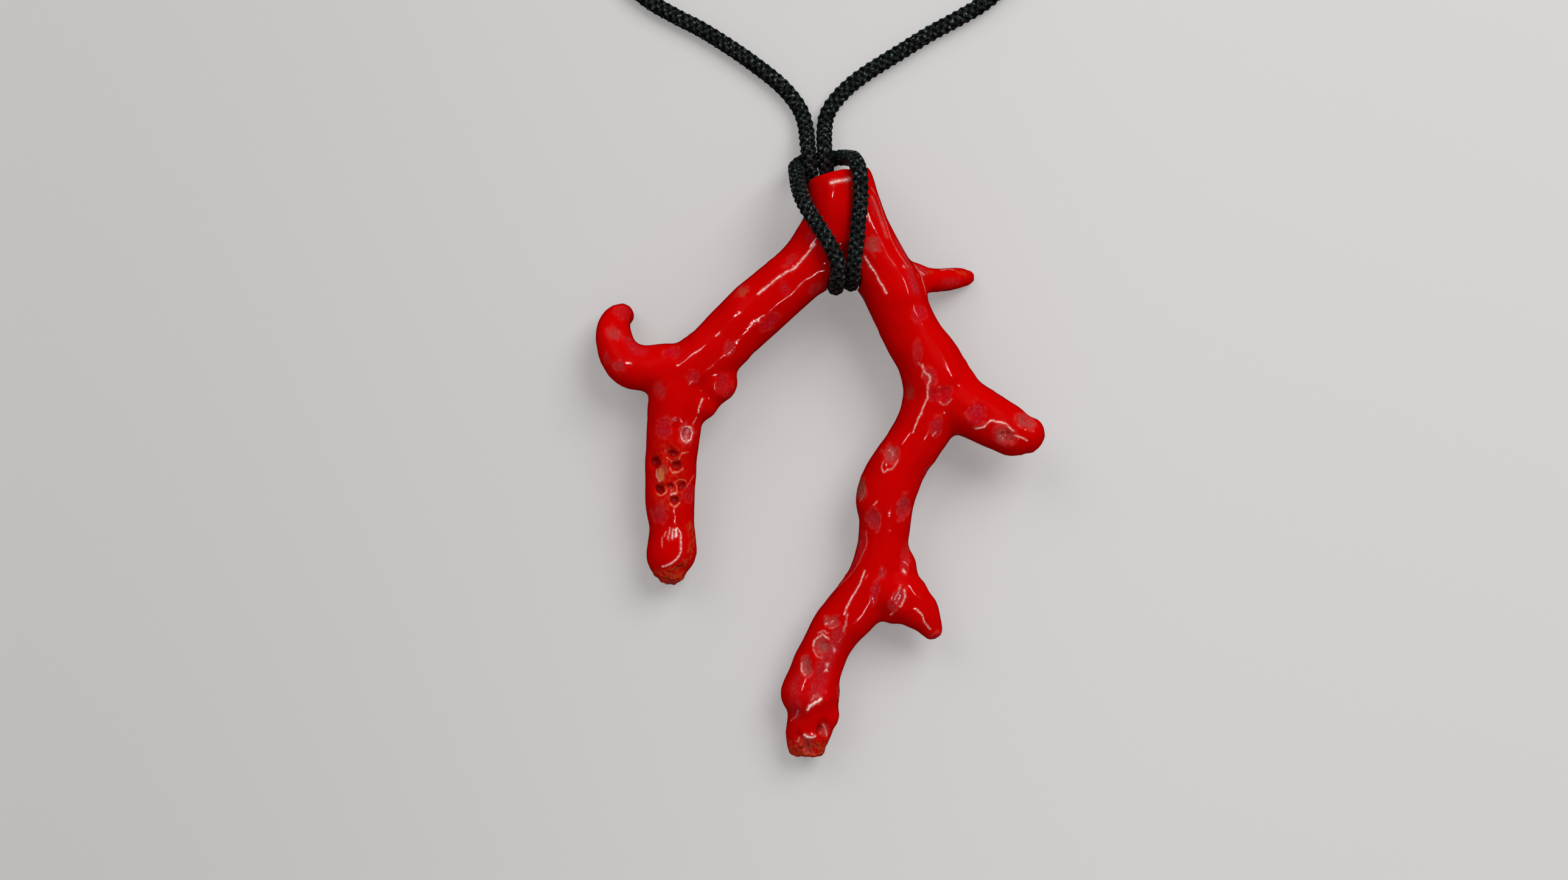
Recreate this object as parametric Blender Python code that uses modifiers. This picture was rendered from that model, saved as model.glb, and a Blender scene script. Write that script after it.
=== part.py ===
"""A red coral branch, sawn off at its base and hung by its fork on a braided cord, lying down.

The tables are in millimetres and the scene is in metres. +Z is up. The branch lies along X and Y with its
sawn base towards +Y, and the origin is on the surface that it lies on, under the middle of the coral.
"""

import math

import bmesh
import bpy
from mathutils import Matrix, Vector, noise
from mathutils.bvhtree import BVHTree
from mathutils.kdtree import KDTree

MM = 0.001

# Driving dimensions, in millimetres.
KERF = 0.3
VOXEL = 0.36
SMOOTHING_STEPS = 9
CORD_DIAMETER = 2.0
KNOT_CORD_DIAMETER = 1.86
CORD_SIDES = 8
COIL_CENTRE = (0.0, 76.5)
COIL_RADIUS = 11.5
COIL_BUNDLE = (6.4, 4.0)
COIL_SIDES = 10
COIL_STEPS = 26
KNOT_STEP = 2.2
RUN_STEP = 3.5
CORAL_TRIANGLES = 6100
FEWEST_FACES = 20

CORAL_RED = (0.62, 0.008, 0.010, 1.0)
CORAL_ROUGHNESS = 0.16
CORD_BLACK = (0.008, 0.010, 0.010, 1.0)
CORD_ROUGHNESS = 0.75

# The middle line of each limb, from the fork that it leaves to its end: x, y, z and radius.
LIMBS = {
    "stem": [
        (2.05, 35.1, 7.3, 3.85),
        (2.5, 33.1, 7.3, 4.1),
        (2.85, 29.6, 7.3, 4.3),
        (3.1, 26.2, 7.3, 3.6),
    ],
    "left_limb": [
        (2.0, 29.6, 7.3, 3.7),
        (0.3, 26.1, 7.3, 3.8),
        (-1.45, 23.85, 7.1, 3.7),
        (-4.0, 21.7, 6.9, 3.6),
        (-7.3, 18.9, 6.6, 3.7),
        (-10.15, 16.2, 6.3, 3.65),
        (-12.5, 13.85, 6.1, 3.55),
        (-14.9, 12.0, 5.9, 3.5),
        (-16.9, 10.7, 5.8, 3.4),
    ],
    "left_hook": [
        (-16.4, 11.1, 5.8, 3.2),
        (-18.9, 11.5, 5.7, 3.2),
        (-21.2, 11.6, 5.6, 2.95),
        (-23.5, 12.3, 5.3, 2.7),
        (-24.7, 14.1, 4.8, 2.5),
        (-25.05, 16.1, 4.1, 2.2),
        (-24.85, 17.6, 3.1, 1.85),
        (-24.2, 18.3, 1.9, 1.55),
        (-24.0, 18.1, 1.0, 1.3),
    ],
    "left_tip": [
        (-16.4, 10.9, 5.8, 3.3),
        (-17.3, 8.3, 5.6, 3.4),
        (-17.6, 5.4, 5.3, 3.4),
        (-17.85, 3.1, 5.0, 3.3),
        (-18.2, -1.3, 4.6, 3.15),
        (-18.2, -5.0, 4.2, 3.05),
        (-18.0, -7.6, 3.9, 2.85),
        (-18.0, -10.2, 3.7, 3.05),
        (-18.35, -12.0, 3.5, 2.85),
        (-18.55, -13.9, 3.4, 1.85),
    ],
    "right_limb": [
        (3.4, 30.9, 7.3, 3.85),
        (5.35, 26.9, 7.1, 3.7),
        (7.05, 23.9, 7.0, 3.65),
        (8.65, 21.1, 6.8, 3.65),
        (10.0, 18.0, 6.6, 3.55),
        (11.45, 15.1, 6.4, 3.6),
        (13.15, 12.2, 6.2, 3.95),
        (14.2, 9.4, 6.0, 4.2),
    ],
    "right_spur": [
        (10.2, 22.8, 5.8, 2.0),
        (13.0, 22.4, 4.4, 1.7),
        (15.6, 22.6, 2.8, 1.5),
        (17.3, 22.9, 1.6, 1.3),
        (18.2, 23.0, 0.75, 1.1),
    ],
    "right_prong": [
        (14.9, 8.6, 6.0, 3.7),
        (16.8, 7.35, 6.1, 3.7),
        (18.9, 6.3, 6.3, 3.45),
        (21.9, 4.6, 6.6, 3.2),
        (23.75, 3.75, 6.8, 2.95),
        (24.65, 3.6, 6.9, 2.4),
    ],
    "lower_limb": [
        (14.1, 9.4, 6.0, 3.85),
        (12.9, 5.4, 5.8, 3.65),
        (11.2, 2.3, 5.6, 3.4),
        (9.2, -0.7, 5.4, 3.5),
        (7.9, -4.3, 5.1, 3.55),
        (7.9, -6.5, 5.0, 3.2),
        (7.7, -9.1, 4.8, 3.1),
        (7.5, -11.1, 4.6, 3.25),
        (6.6, -14.1, 4.4, 3.4),
        (4.95, -16.6, 4.2, 3.3),
    ],
    "lower_tip": [
        (6.0, -15.1, 4.3, 3.3),
        (4.05, -17.8, 4.1, 3.3),
        (1.75, -20.55, 3.9, 3.1),
        (0.1, -23.65, 3.7, 3.05),
        (-0.8, -26.2, 3.5, 3.25),
        (-1.1, -28.1, 3.3, 3.75),
        (-0.9, -29.8, 3.1, 3.15),
        (-1.2, -31.6, 2.8, 2.9),
        (-1.6, -33.5, 2.65, 2.7),
        (-1.6, -35.7, 2.6, 2.1),
    ],
    "lower_spur": [
        (7.2, -14.0, 4.5, 3.2),
        (9.25, -15.6, 4.6, 3.4),
        (11.3, -17.1, 4.7, 2.9),
        (12.65, -18.6, 4.7, 2.2),
        (13.55, -20.05, 4.7, 1.35),
    ],
}
ROUNDED_TIPS = ("left_hook", "right_spur", "right_prong", "lower_spur")

# Knobs that stand out of the limbs: x, y, z and radius.
KNOBS = [
    (-12.75, 10.0, 5.8, 2.8),
    (-14.45, 7.6, 5.6, 2.4),
    (-24.5, 11.6, 5.2, 1.5),
    (-16.85, -10.4, 3.7, 2.0),
    (-18.4, -13.6, 3.5, 1.4),
    (11.2, 20.4, 6.0, 1.9),
    (14.6, 12.7, 6.1, 2.6),
    (15.6, 11.1, 6.1, 2.65),
    (16.4, 9.6, 6.1, 2.8),
    (9.3, -12.4, 4.6, 2.6),
    (8.9, -17.3, 4.5, 2.3),
    (-2.9, -33.2, 2.9, 1.5),
    (0.0, -33.0, 3.2, 1.6),
    (0.5, -30.6, 3.6, 2.0),
]

# Hollows in the upper side, where a polyp sat or a worm bored: x, y, half length, half width, depth.
CUPS = [
    (-16.3, 3.8, 1.15, 0.8, 0.28),
    (-11.7, 9.4, 1.3, 1.0, 0.22),
    (8.7, 1.2, 1.3, 0.95, 0.25),
    (10.1, -5.4, 1.3, 0.8, 0.18),
    (6.4, -6.5, 1.3, 0.9, 0.18),
    (22.3, 3.4, 1.2, 0.9, 0.25),
    (24.8, 5.3, 1.2, 0.7, 0.2),
    (19.0, 6.2, 1.2, 1.2, 0.15),
    (1.5, -18.8, 1.1, 0.75, 0.2),
    (0.2, -22.1, 1.1, 1.0, 0.32),
    (-1.6, -24.6, 1.2, 0.75, 0.25),
    (0.1, -26.4, 2.6, 0.9, 0.25),
    (9.9, -16.5, 1.3, 0.8, 0.2),
    (-25.3, 16.1, 1.1, 0.8, 0.15),
]
BORES = [
    (-18.0, 1.4, 0.75, 0.7, 0.55),
    (-20.0, 0.3, 0.8, 0.7, 0.55),
    (-17.5, -0.1, 0.85, 0.75, 0.6),
    (-19.4, -3.0, 0.8, 0.7, 0.55),
    (-16.8, -2.6, 0.85, 0.65, 0.55),
    (-18.2, -2.9, 0.6, 0.55, 0.4),
    (-17.6, -4.4, 0.7, 0.65, 0.5),
    (-2.6, -33.3, 0.8, 0.7, 0.6),
    (0.3, -31.9, 1.3, 0.8, 0.5),
    (-1.3, -34.6, 0.9, 0.8, 0.6),
    (-17.0, -12.8, 1.0, 0.7, 0.35),
]

# Hollows under the branch go round each limb by this angle from one to the next.
GOLDEN_ANGLE = math.radians(137.5)
HIDDEN_CUP = (1.15, 0.8, 0.2)
HIDDEN_CUP_SPACING = 4.6

# The slow unevenness of a grown and hand-polished surface: the size and the height of its swells.
SWELLS = [(4.1, 0.13), (1.7, 0.06)]

# The two lower ends are broken, not sawn, and were polished over: the place and how far the crags reach.
BROKEN_ENDS = [
    ((-1.6, -36.0, 2.7), 3.6),
    ((-18.2, -15.0, 3.4), 2.8),
]
CRAG_SIZE, CRAG_HEIGHT = 0.9, 0.45
LUMP_SIZE, LUMP_HEIGHT = 2.0, 0.4

# Where the branch is parted at its forks: the disc's centre, the way that the limb leaves, and radius.
PARTINGS = [
    ((-3.2, 22.8, 7.0), (-0.75, -0.66, 0.0), 4.5),
    ((8.0, 22.3, 6.9), (0.64, -0.77, 0.0), 4.8),
    ((12.9, 22.5, 4.6), (0.90, 0.0, -0.44), 2.7),
    ((18.2, 6.6, 6.2), (0.87, -0.49, 0.0), 4.3),
    ((11.8, 3.3, 5.7), (-0.55, -0.83, 0.0), 4.4),
    ((-21.1, 11.5, 5.6), (-1.0, 0.05, 0.0), 3.9),
    ((-17.9, 5.2, 5.3), (-0.10, -1.0, 0.0), 4.3),
    ((2.7, -19.2, 4.0), (-0.63, -0.77, 0.0), 4.4),
    ((10.3, -16.2, 4.6), (0.72, -0.69, 0.0), 4.1),
]

# The coral's pieces once it is parted, each with a point well inside it.
PIECES = {
    "coral_stem": (2.6, 30.0, 7.3),
    "coral_left_limb": (-7.5, 19.1, 6.6),
    "coral_left_hook": (-25.0, 13.9, 4.8),
    "coral_left_tip": (-18.1, -5.0, 4.2),
    "coral_right_limb": (11.5, 15.1, 6.4),
    "coral_right_spur": (15.6, 22.5, 3.1),
    "coral_right_prong": (22.3, 4.5, 6.6),
    "coral_lower_limb": (7.9, -6.5, 5.0),
    "coral_lower_tip": (0.0, -23.6, 3.7),
    "coral_lower_spur": (12.0, -17.7, 4.7),
}

# The cord's route. The knot goes down behind the stem, through the fork, up in front and round the back of
# the two long runs, and then the same way down and up again. Both runs go to the coil.
KNOT_ROUTE = [
    (-1.5, 39.2, 2.7),
    (-1.35, 38.0, 3.1),
    (-1.2, 36.8, 3.0),
    (-1.1, 35.4, 2.6),
    (-0.8, 33.6, 2.35),
    (-0.2, 31.0, 2.2),
    (0.6, 28.0, 2.15),
    (1.3, 25.6, 2.2),
    (1.7, 23.7, 2.6),
    (1.8, 21.95, 3.9),
    (1.8, 21.3, 6.0),
    (1.8, 21.2, 8.4),
    (1.8, 21.75, 10.5),
    (1.65, 23.3, 11.9),
    (1.2, 24.9, 12.3),
    (0.5, 26.4, 12.4),
    (-0.4, 28.1, 12.2),
    (-1.4, 29.9, 11.6),
    (-2.3, 31.7, 10.3),
    (-2.85, 33.4, 8.5),
    (-3.0, 34.7, 6.6),
    (-3.05, 35.45, 5.0),
    (-3.1, 35.95, 3.4),
    (-3.0, 36.35, 2.1),
    (-2.45, 36.85, 1.25),
    (-1.6, 37.3, 1.0),
    (-0.3, 37.4, 1.0),
    (1.1, 37.5, 1.0),
    (2.3, 37.6, 1.5),
    (3.15, 37.45, 3.0),
    (3.55, 37.15, 5.2),
    (3.9, 36.8, 7.6),
    (4.2, 36.3, 9.8),
    (4.5, 35.35, 11.6),
    (4.75, 34.2, 12.25),
    (4.75, 32.4, 12.3),
    (4.6, 30.6, 12.3),
    (4.4, 28.8, 12.3),
    (4.25, 27.0, 12.2),
    (4.05, 25.2, 12.0),
    (3.85, 23.6, 11.5),
    (3.75, 22.4, 10.2),
    (3.75, 21.8, 8.4),
    (3.75, 21.7, 6.0),
    (3.75, 22.3, 3.9),
    (3.75, 23.8, 2.6),
    (3.4, 25.6, 2.1),
    (2.7, 28.0, 1.9),
    (1.85, 31.0, 1.9),
    (1.25, 33.6, 2.05),
    (0.9, 35.4, 2.45),
    (0.75, 36.8, 3.0),
    (0.65, 38.0, 3.1),
    (0.55, 39.2, 2.7),
]
LEFT_ROUTE = [
    (-1.5, 39.2, 2.7),
    (-1.65, 41.0, 1.7),
    (-2.1, 42.9, 1.15),
    (-3.1, 44.7, 1.05),
    (-5.0, 46.8, 1.05),
    (-7.9, 49.1, 1.05),
    (-10.9, 51.2, 1.05),
    (-14.6, 53.5, 1.05),
    (-17.9, 55.2, 1.05),
    (-21.4, 57.3, 1.05),
    (-24.0, 60.0, 1.05),
    (-25.2, 63.6, 1.05),
    (-24.5, 67.6, 1.05),
    (-22.0, 71.8, 1.05),
    (-19.0, 76.0, 1.05),
    (-16.2, 80.6, 1.05),
]
RIGHT_ROUTE = [
    (0.55, 39.2, 2.7),
    (0.6, 41.0, 1.7),
    (0.85, 42.7, 1.15),
    (1.75, 44.4, 1.05),
    (3.6, 46.4, 1.05),
    (6.1, 48.3, 1.05),
    (9.8, 50.6, 1.05),
    (13.5, 52.9, 1.05),
    (17.2, 54.9, 1.05),
    (20.6, 57.0, 1.05),
    (23.4, 59.8, 1.05),
    (24.8, 63.5, 1.05),
    (24.4, 67.6, 1.05),
    (22.0, 71.8, 1.05),
    (19.0, 76.0, 1.05),
    (16.2, 80.6, 1.05),
]


def smooth_line(points, step):
    """Points about a step apart on a smooth curve through the given ones, in millimetres."""
    knots = [Vector(p) for p in points]
    knots = [knots[0] * 2 - knots[1], *knots, knots[-1] * 2 - knots[-2]]
    line = []
    for a, b, c, d in zip(knots, knots[1:], knots[2:], knots[3:]):
        pieces = max(1, round((c - b).length / step))
        for i in range(pieces):
            t = i / pieces
            line.append(
                0.5 * (2 * b + (c - a) * t + (2 * a - 5 * b + 4 * c - d) * t**2)
                + 0.5 * (3 * b - a - 3 * c + d) * t**3
            )
    line.append(knots[-2])
    return line


# The braid is soft, so its seat is a little wider than the cord and the gap.
SEAT_PLAY = 0.14
SEAT_RADIUS = KNOT_CORD_DIAMETER / 2 + KERF + SEAT_PLAY
KNOT_LINE = smooth_line(KNOT_ROUTE, 0.4)


def clear_scene():
    for obj in list(bpy.data.objects):
        bpy.data.objects.remove(obj, do_unlink=True)


def new_collection(name):
    made = bpy.data.collections.new(name)
    bpy.context.scene.collection.children.link(made)
    return made


def new_material(name, colour, roughness):
    made = bpy.data.materials.new(name)
    made.use_nodes = True
    shader = made.node_tree.nodes["Principled BSDF"]
    shader.inputs["Base Color"].default_value = colour
    shader.inputs["Roughness"].default_value = roughness
    shader.inputs["Metallic"].default_value = 0.0
    return made


def evaluated_mesh(obj):
    """The object's mesh with its modifiers, as new data."""
    graph = bpy.context.evaluated_depsgraph_get()
    graph.update()
    return bpy.data.meshes.new_from_object(obj.evaluated_get(graph), depsgraph=graph)


def baked(obj):
    """Swaps the object for a plain mesh object with its modifiers applied."""
    name, matrix, home = obj.name, obj.matrix_world.copy(), obj.users_collection[0]
    mesh = evaluated_mesh(obj)
    bpy.data.objects.remove(obj, do_unlink=True)
    made = bpy.data.objects.new(name, mesh)
    made.matrix_world = matrix
    home.objects.link(made)
    return made


def rounded_end(points):
    """The limb's points with a round tip past the last one."""
    before, last = (Vector(p[:3]) for p in points[-2:])
    radius = points[-1][3]
    ahead = (last - before).normalized()
    tip = []
    for degrees in (30, 55, 75, 86):
        angle = math.radians(degrees)
        place = last + ahead * radius * math.sin(angle)
        tip.append((*place, radius * math.cos(angle)))
    return [*points, *tip]


def limb_mesh(name, points, home):
    """A tube whose radius changes along a smooth line through the points."""
    curve = bpy.data.curves.new(name, "CURVE")
    curve.dimensions = "3D"
    curve.bevel_depth = MM
    curve.bevel_resolution = 6
    curve.resolution_u = 8
    curve.use_fill_caps = True
    spline = curve.splines.new("BEZIER")
    spline.radius_interpolation = "CARDINAL"
    spline.bezier_points.add(len(points) - 1)
    for knot, (x, y, z, radius) in zip(spline.bezier_points, points):
        knot.co = Vector((x, y, z)) * MM
        knot.radius = radius
        knot.handle_left_type = knot.handle_right_type = "AUTO"
    obj = bpy.data.objects.new(name, curve)
    home.objects.link(obj)
    return baked(obj)


def knob_mesh(x, y, z, radius, home):
    made = bmesh.new()
    place = Matrix.Translation(Vector((x, y, z)) * MM)
    bmesh.ops.create_icosphere(made, subdivisions=3, radius=radius * MM, matrix=place)
    mesh = bpy.data.meshes.new("knob")
    made.to_mesh(mesh)
    made.free()
    obj = bpy.data.objects.new("knob", mesh)
    home.objects.link(obj)
    return obj


def joined(objects, name):
    """One object with every given object's mesh in it."""
    made = bmesh.new()
    home = objects[0].users_collection[0]
    for obj in objects:
        copy = obj.data.copy()
        copy.transform(obj.matrix_world)
        made.from_mesh(copy)
        bpy.data.meshes.remove(copy)
        bpy.data.objects.remove(obj, do_unlink=True)
    bmesh.ops.remove_doubles(made, verts=made.verts, dist=0.0005 * MM)
    mesh = bpy.data.meshes.new(name)
    made.to_mesh(mesh)
    made.free()
    obj = bpy.data.objects.new(name, mesh)
    home.objects.link(obj)
    return obj


def grown_together(obj):
    """Fuses overlapping tubes into one skin and rounds the creases where they meet."""
    remesh = obj.modifiers.new("Remesh", "REMESH")
    remesh.mode = "VOXEL"
    remesh.voxel_size = VOXEL * MM
    smooth = obj.modifiers.new("Smooth", "SMOOTH")
    smooth.factor = 0.5
    smooth.iterations = SMOOTHING_STEPS
    return baked(obj)


def limb_direction(point):
    """The way the nearest limb runs at a point given in millimetres."""
    best, direction = 1e9, Vector((0, 1, 0))
    for points in LIMBS.values():
        for first, second in zip(points, points[1:]):
            a, b = Vector(first[:3]), Vector(second[:3])
            share = max(0.0, min(1.0, (point - a).dot(b - a) / (b - a).length_squared))
            away = (a + (b - a) * share - point).length
            if away < best:
                best, direction = away, (b - a).normalized()
    return direction


def press_in(skin, centre, normal, half_length, half_width, depth):
    """Pushes an oval hollow into the skin. Lengths are in millimetres."""
    along = limb_direction(centre / MM)
    along = (along - normal * along.dot(normal)).normalized()
    across = normal.cross(along)
    for vertex in skin.verts:
        offset = (vertex.co - centre) / MM
        if offset.length > half_length * 1.3:
            continue
        share = math.hypot(offset.dot(along) / half_length, offset.dot(across) / half_width)
        if share < 1:
            vertex.co -= normal * depth * MM * (1 - share * share) ** 0.8


def press_upper_hollows(skin):
    finder = BVHTree.FromBMesh(skin)
    down = Vector((0, 0, -1))
    for x, y, half_length, half_width, depth in [*CUPS, *BORES]:
        above = Vector((x, y, 30.0)) * MM
        place, normal, _, _ = finder.ray_cast(above, down)
        if place is not None:
            press_in(skin, place, normal, half_length, half_width, depth)


def press_hidden_hollows(skin):
    """Scatters polyp hollows over the sides and the underside, round each limb in turn."""
    finder = BVHTree.FromBMesh(skin)
    turn = 0.0
    for points in LIMBS.values():
        for first, second in zip(points[1:], points[2:]):
            a, b = Vector(first[:3]), Vector(second[:3])
            way = (b - a).normalized()
            for step in range(int((b - a).length / HIDDEN_CUP_SPACING) + 1):
                turn += GOLDEN_ANGLE
                out = Vector((math.cos(turn), 0.0, math.sin(turn)))
                out -= way * out.dot(way)
                if out.z > 0.1:
                    continue
                middle = a + (b - a) * (step + 0.5) / 2
                outside = (middle + out.normalized() * HIDDEN_CUP_SPACING) * MM
                place, normal, _, _ = finder.find_nearest(outside)
                if normal.z < 0.4:
                    press_in(skin, place, normal, *HIDDEN_CUP)


def ripple(skin):
    for vertex in skin.verts:
        point = vertex.co / MM
        swell = sum(height * noise.noise(point / size) for size, height in SWELLS)
        vertex.co += vertex.normal * swell * MM


def roughen_broken_ends(skin):
    """Breaks the ends up with small crags and larger lumps."""
    for end, reach in BROKEN_ENDS:
        for vertex in skin.verts:
            point = vertex.co / MM
            near = 1 - (point - Vector(end)).length / reach
            if near > 0:
                crag = CRAG_HEIGHT * noise.noise(point / CRAG_SIZE)
                lump = LUMP_HEIGHT * noise.noise(point / LUMP_SIZE + Vector(end))
                vertex.co += vertex.normal * (crag + lump) * min(1.0, near * 2) * MM


def seat_the_cord(skin):
    """Wears a seat into the fork and the stem wherever the cord would press into them."""
    line = KDTree(len(KNOT_LINE))
    for index, place in enumerate(KNOT_LINE):
        line.insert(place, index)
    line.balance()
    for vertex in skin.verts:
        point = vertex.co / MM
        place, _, away = line.find(point)
        if away < SEAT_RADIUS:
            vertex.co = (place + (point - place) * SEAT_RADIUS / max(away, KERF)) * MM


def carve(obj):
    skin = bmesh.new()
    skin.from_mesh(obj.data)
    skin.normal_update()
    ripple(skin)
    roughen_broken_ends(skin)
    skin.normal_update()
    press_upper_hollows(skin)
    press_hidden_hollows(skin)
    seat_the_cord(skin)
    skin.to_mesh(obj.data)
    skin.free()


def fewer_triangles(obj):
    """Keeps small faces where the skin bends and large ones where it doesn't."""
    triangles = sum(len(face.vertices) - 2 for face in obj.data.polygons)
    decimate = obj.modifiers.new("Decimate", "DECIMATE")
    decimate.ratio = CORAL_TRIANGLES / triangles
    decimate.use_collapse_triangulate = True
    return baked(obj)


def flatten_where_it_rests(obj):
    """The hook, the spur and the lower bulge are worn flat where they touch the surface."""
    skin = bmesh.new()
    skin.from_mesh(obj.data)
    cut = bmesh.ops.bisect_plane(
        skin,
        geom=[*skin.verts, *skin.edges, *skin.faces],
        plane_co=(0, 0, 0),
        plane_no=(0, 0, -1),
        clear_outer=True,
        dist=0.0001 * MM,
    )
    rims = [item for item in cut["geom_cut"] if isinstance(item, bmesh.types.BMEdge)]
    bmesh.ops.holes_fill(skin, edges=rims)
    bmesh.ops.recalc_face_normals(skin, faces=skin.faces)
    skin.to_mesh(obj.data)
    skin.free()


def parting_disc(index, centre, way, radius, home):
    """A thin disc that parts one limb from its fork."""
    turn = Vector(way).to_track_quat("Z", "Y").to_matrix().to_4x4()
    place = Matrix.Translation(Vector(centre) * MM) @ turn
    disc = bmesh.new()
    bmesh.ops.create_cone(
        disc,
        cap_ends=True,
        segments=24,
        radius1=radius * MM,
        radius2=radius * MM,
        depth=KERF * MM,
        matrix=place,
    )
    mesh = bpy.data.meshes.new(f"parting_{index}")
    disc.to_mesh(mesh)
    disc.free()
    obj = bpy.data.objects.new(f"parting_{index}", mesh)
    obj.hide_render = True
    obj.display_type = "WIRE"
    home.objects.link(obj)
    return obj


def parted(obj, cutters):
    for disc, (centre, way, radius) in enumerate(PARTINGS):
        cutter = parting_disc(disc, centre, way, radius, cutters)
        cut = obj.modifiers.new(cutter.name, "BOOLEAN")
        cut.operation = "DIFFERENCE"
        cut.solver = "EXACT"
        cut.object = cutter
    return baked(obj)


def islands(skin):
    """The faces of each body in the mesh, as lists."""
    left = set(skin.faces)
    while left:
        todo = [left.pop()]
        found = []
        while todo:
            face = todo.pop()
            found.append(face)
            for edge in face.edges:
                for other in edge.link_faces:
                    if other in left:
                        left.remove(other)
                        todo.append(other)
        yield found


def distance_to_body(faces, point):
    return min((face.calc_center_median() - point).length for face in faces)


def name_pieces(obj, material, home):
    """Makes one object of each body, named for the piece whose inner point it holds."""
    whole = bmesh.new()
    whole.from_mesh(obj.data)
    bodies = [body for body in islands(whole) if len(body) > FEWEST_FACES]
    for name, point in PIECES.items():
        body = min(bodies, key=lambda faces: distance_to_body(faces, Vector(point) * MM))
        bodies.remove(body)
        piece = bmesh.new()
        placed = {}
        for face in body:
            for vertex in face.verts:
                if vertex not in placed:
                    placed[vertex] = piece.verts.new(vertex.co)
            piece.faces.new([placed[vertex] for vertex in face.verts])
        mesh = bpy.data.meshes.new(name)
        piece.to_mesh(mesh)
        piece.free()
        mesh.materials.append(material)
        mesh.shade_smooth()
        made = bpy.data.objects.new(name, mesh)
        home.objects.link(made)
    whole.free()
    bpy.data.objects.remove(obj, do_unlink=True)


def build_coral(home, cutters):
    material = new_material("polished red coral", CORAL_RED, CORAL_ROUGHNESS)
    shapes = []
    for name, points in LIMBS.items():
        ended = rounded_end(points) if name in ROUNDED_TIPS else points
        shapes.append(limb_mesh(name, ended, home))
    shapes += [knob_mesh(*knob, home) for knob in KNOBS]
    coral = grown_together(joined(shapes, "coral"))
    carve(coral)
    coral = fewer_triangles(coral)
    flatten_where_it_rests(coral)
    name_pieces(parted(coral, cutters), material, home)


def cord_tube(name, line, diameter, material, home):
    curve = bpy.data.curves.new(name, "CURVE")
    curve.dimensions = "3D"
    curve.bevel_depth = diameter / 2 * MM
    curve.bevel_resolution = CORD_SIDES // 2 - 2
    curve.use_fill_caps = True
    spline = curve.splines.new("POLY")
    spline.points.add(len(line) - 1)
    for knot, place in zip(spline.points, line):
        knot.co = (*(place * MM), 1.0)
    curve.materials.append(material)
    obj = bpy.data.objects.new(name, curve)
    home.objects.link(obj)
    return obj


def cord_coil(material, home):
    """The put-away length as one ring: an oval section turned about the coil's axis."""
    width, height = COIL_BUNDLE
    profile = bmesh.new()
    ring = []
    for i in range(COIL_SIDES):
        angle = math.tau * i / COIL_SIDES
        x = COIL_RADIUS + width / 2 * math.cos(angle)
        z = height / 2 * (1 + math.sin(angle) / math.cos(math.pi / COIL_SIDES))
        ring.append(profile.verts.new(Vector((x, 0, z)) * MM))
    for first, second in zip(ring, [*ring[1:], ring[0]]):
        profile.edges.new((second, first))
    mesh = bpy.data.meshes.new("cord_coil")
    profile.to_mesh(mesh)
    profile.free()
    mesh.materials.append(material)
    obj = bpy.data.objects.new("cord_coil", mesh)
    obj.location = (COIL_CENTRE[0] * MM, COIL_CENTRE[1] * MM, 0)
    home.objects.link(obj)
    screw = obj.modifiers.new("Screw", "SCREW")
    screw.angle = math.tau
    screw.steps = screw.render_steps = COIL_STEPS
    screw.use_merge_vertices = True
    screw.merge_threshold = 0.00001
    screw.use_smooth_shade = True


def build_cord(home):
    material = new_material("black braided cord", CORD_BLACK, CORD_ROUGHNESS)
    cord_tube("cord_hitch", smooth_line(KNOT_ROUTE, KNOT_STEP), KNOT_CORD_DIAMETER, material, home)
    for name, route in (("cord_left_run", LEFT_ROUTE), ("cord_right_run", RIGHT_ROUTE)):
        line = smooth_line(route, RUN_STEP)
        line[0] += (line[1] - line[0]).normalized() * KERF
        cord_tube(name, line, CORD_DIAMETER, material, home)
    cord_coil(material, home)


def main():
    clear_scene()
    branch = new_collection("red coral branch")
    cutters = new_collection("cutters")
    build_coral(branch, cutters)
    build_cord(branch)
    bpy.context.view_layer.update()


main()
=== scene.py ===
# %% [markdown]
# # A branch of red coral on a braided cord
#
# This lesson dresses a plain model. The plain model is a branch of red coral, parted at its forks, with the
# black cord that it hangs on. Here it gets a polished skin with the scars of the coral's polyps, worm holes
# and broken ends, and the cord gets its braid.
#
# Precious coral is the stony skeleton of a sea animal. The living bark is cleaned off, the branch is sawn
# from its base, and the stone is ground and polished until it shines. Small pits stay where polyps sat.

# %% load the plain model
import math

import bpy
import numpy as np
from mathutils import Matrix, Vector, noise
from mathutils.kdtree import KDTree


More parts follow.
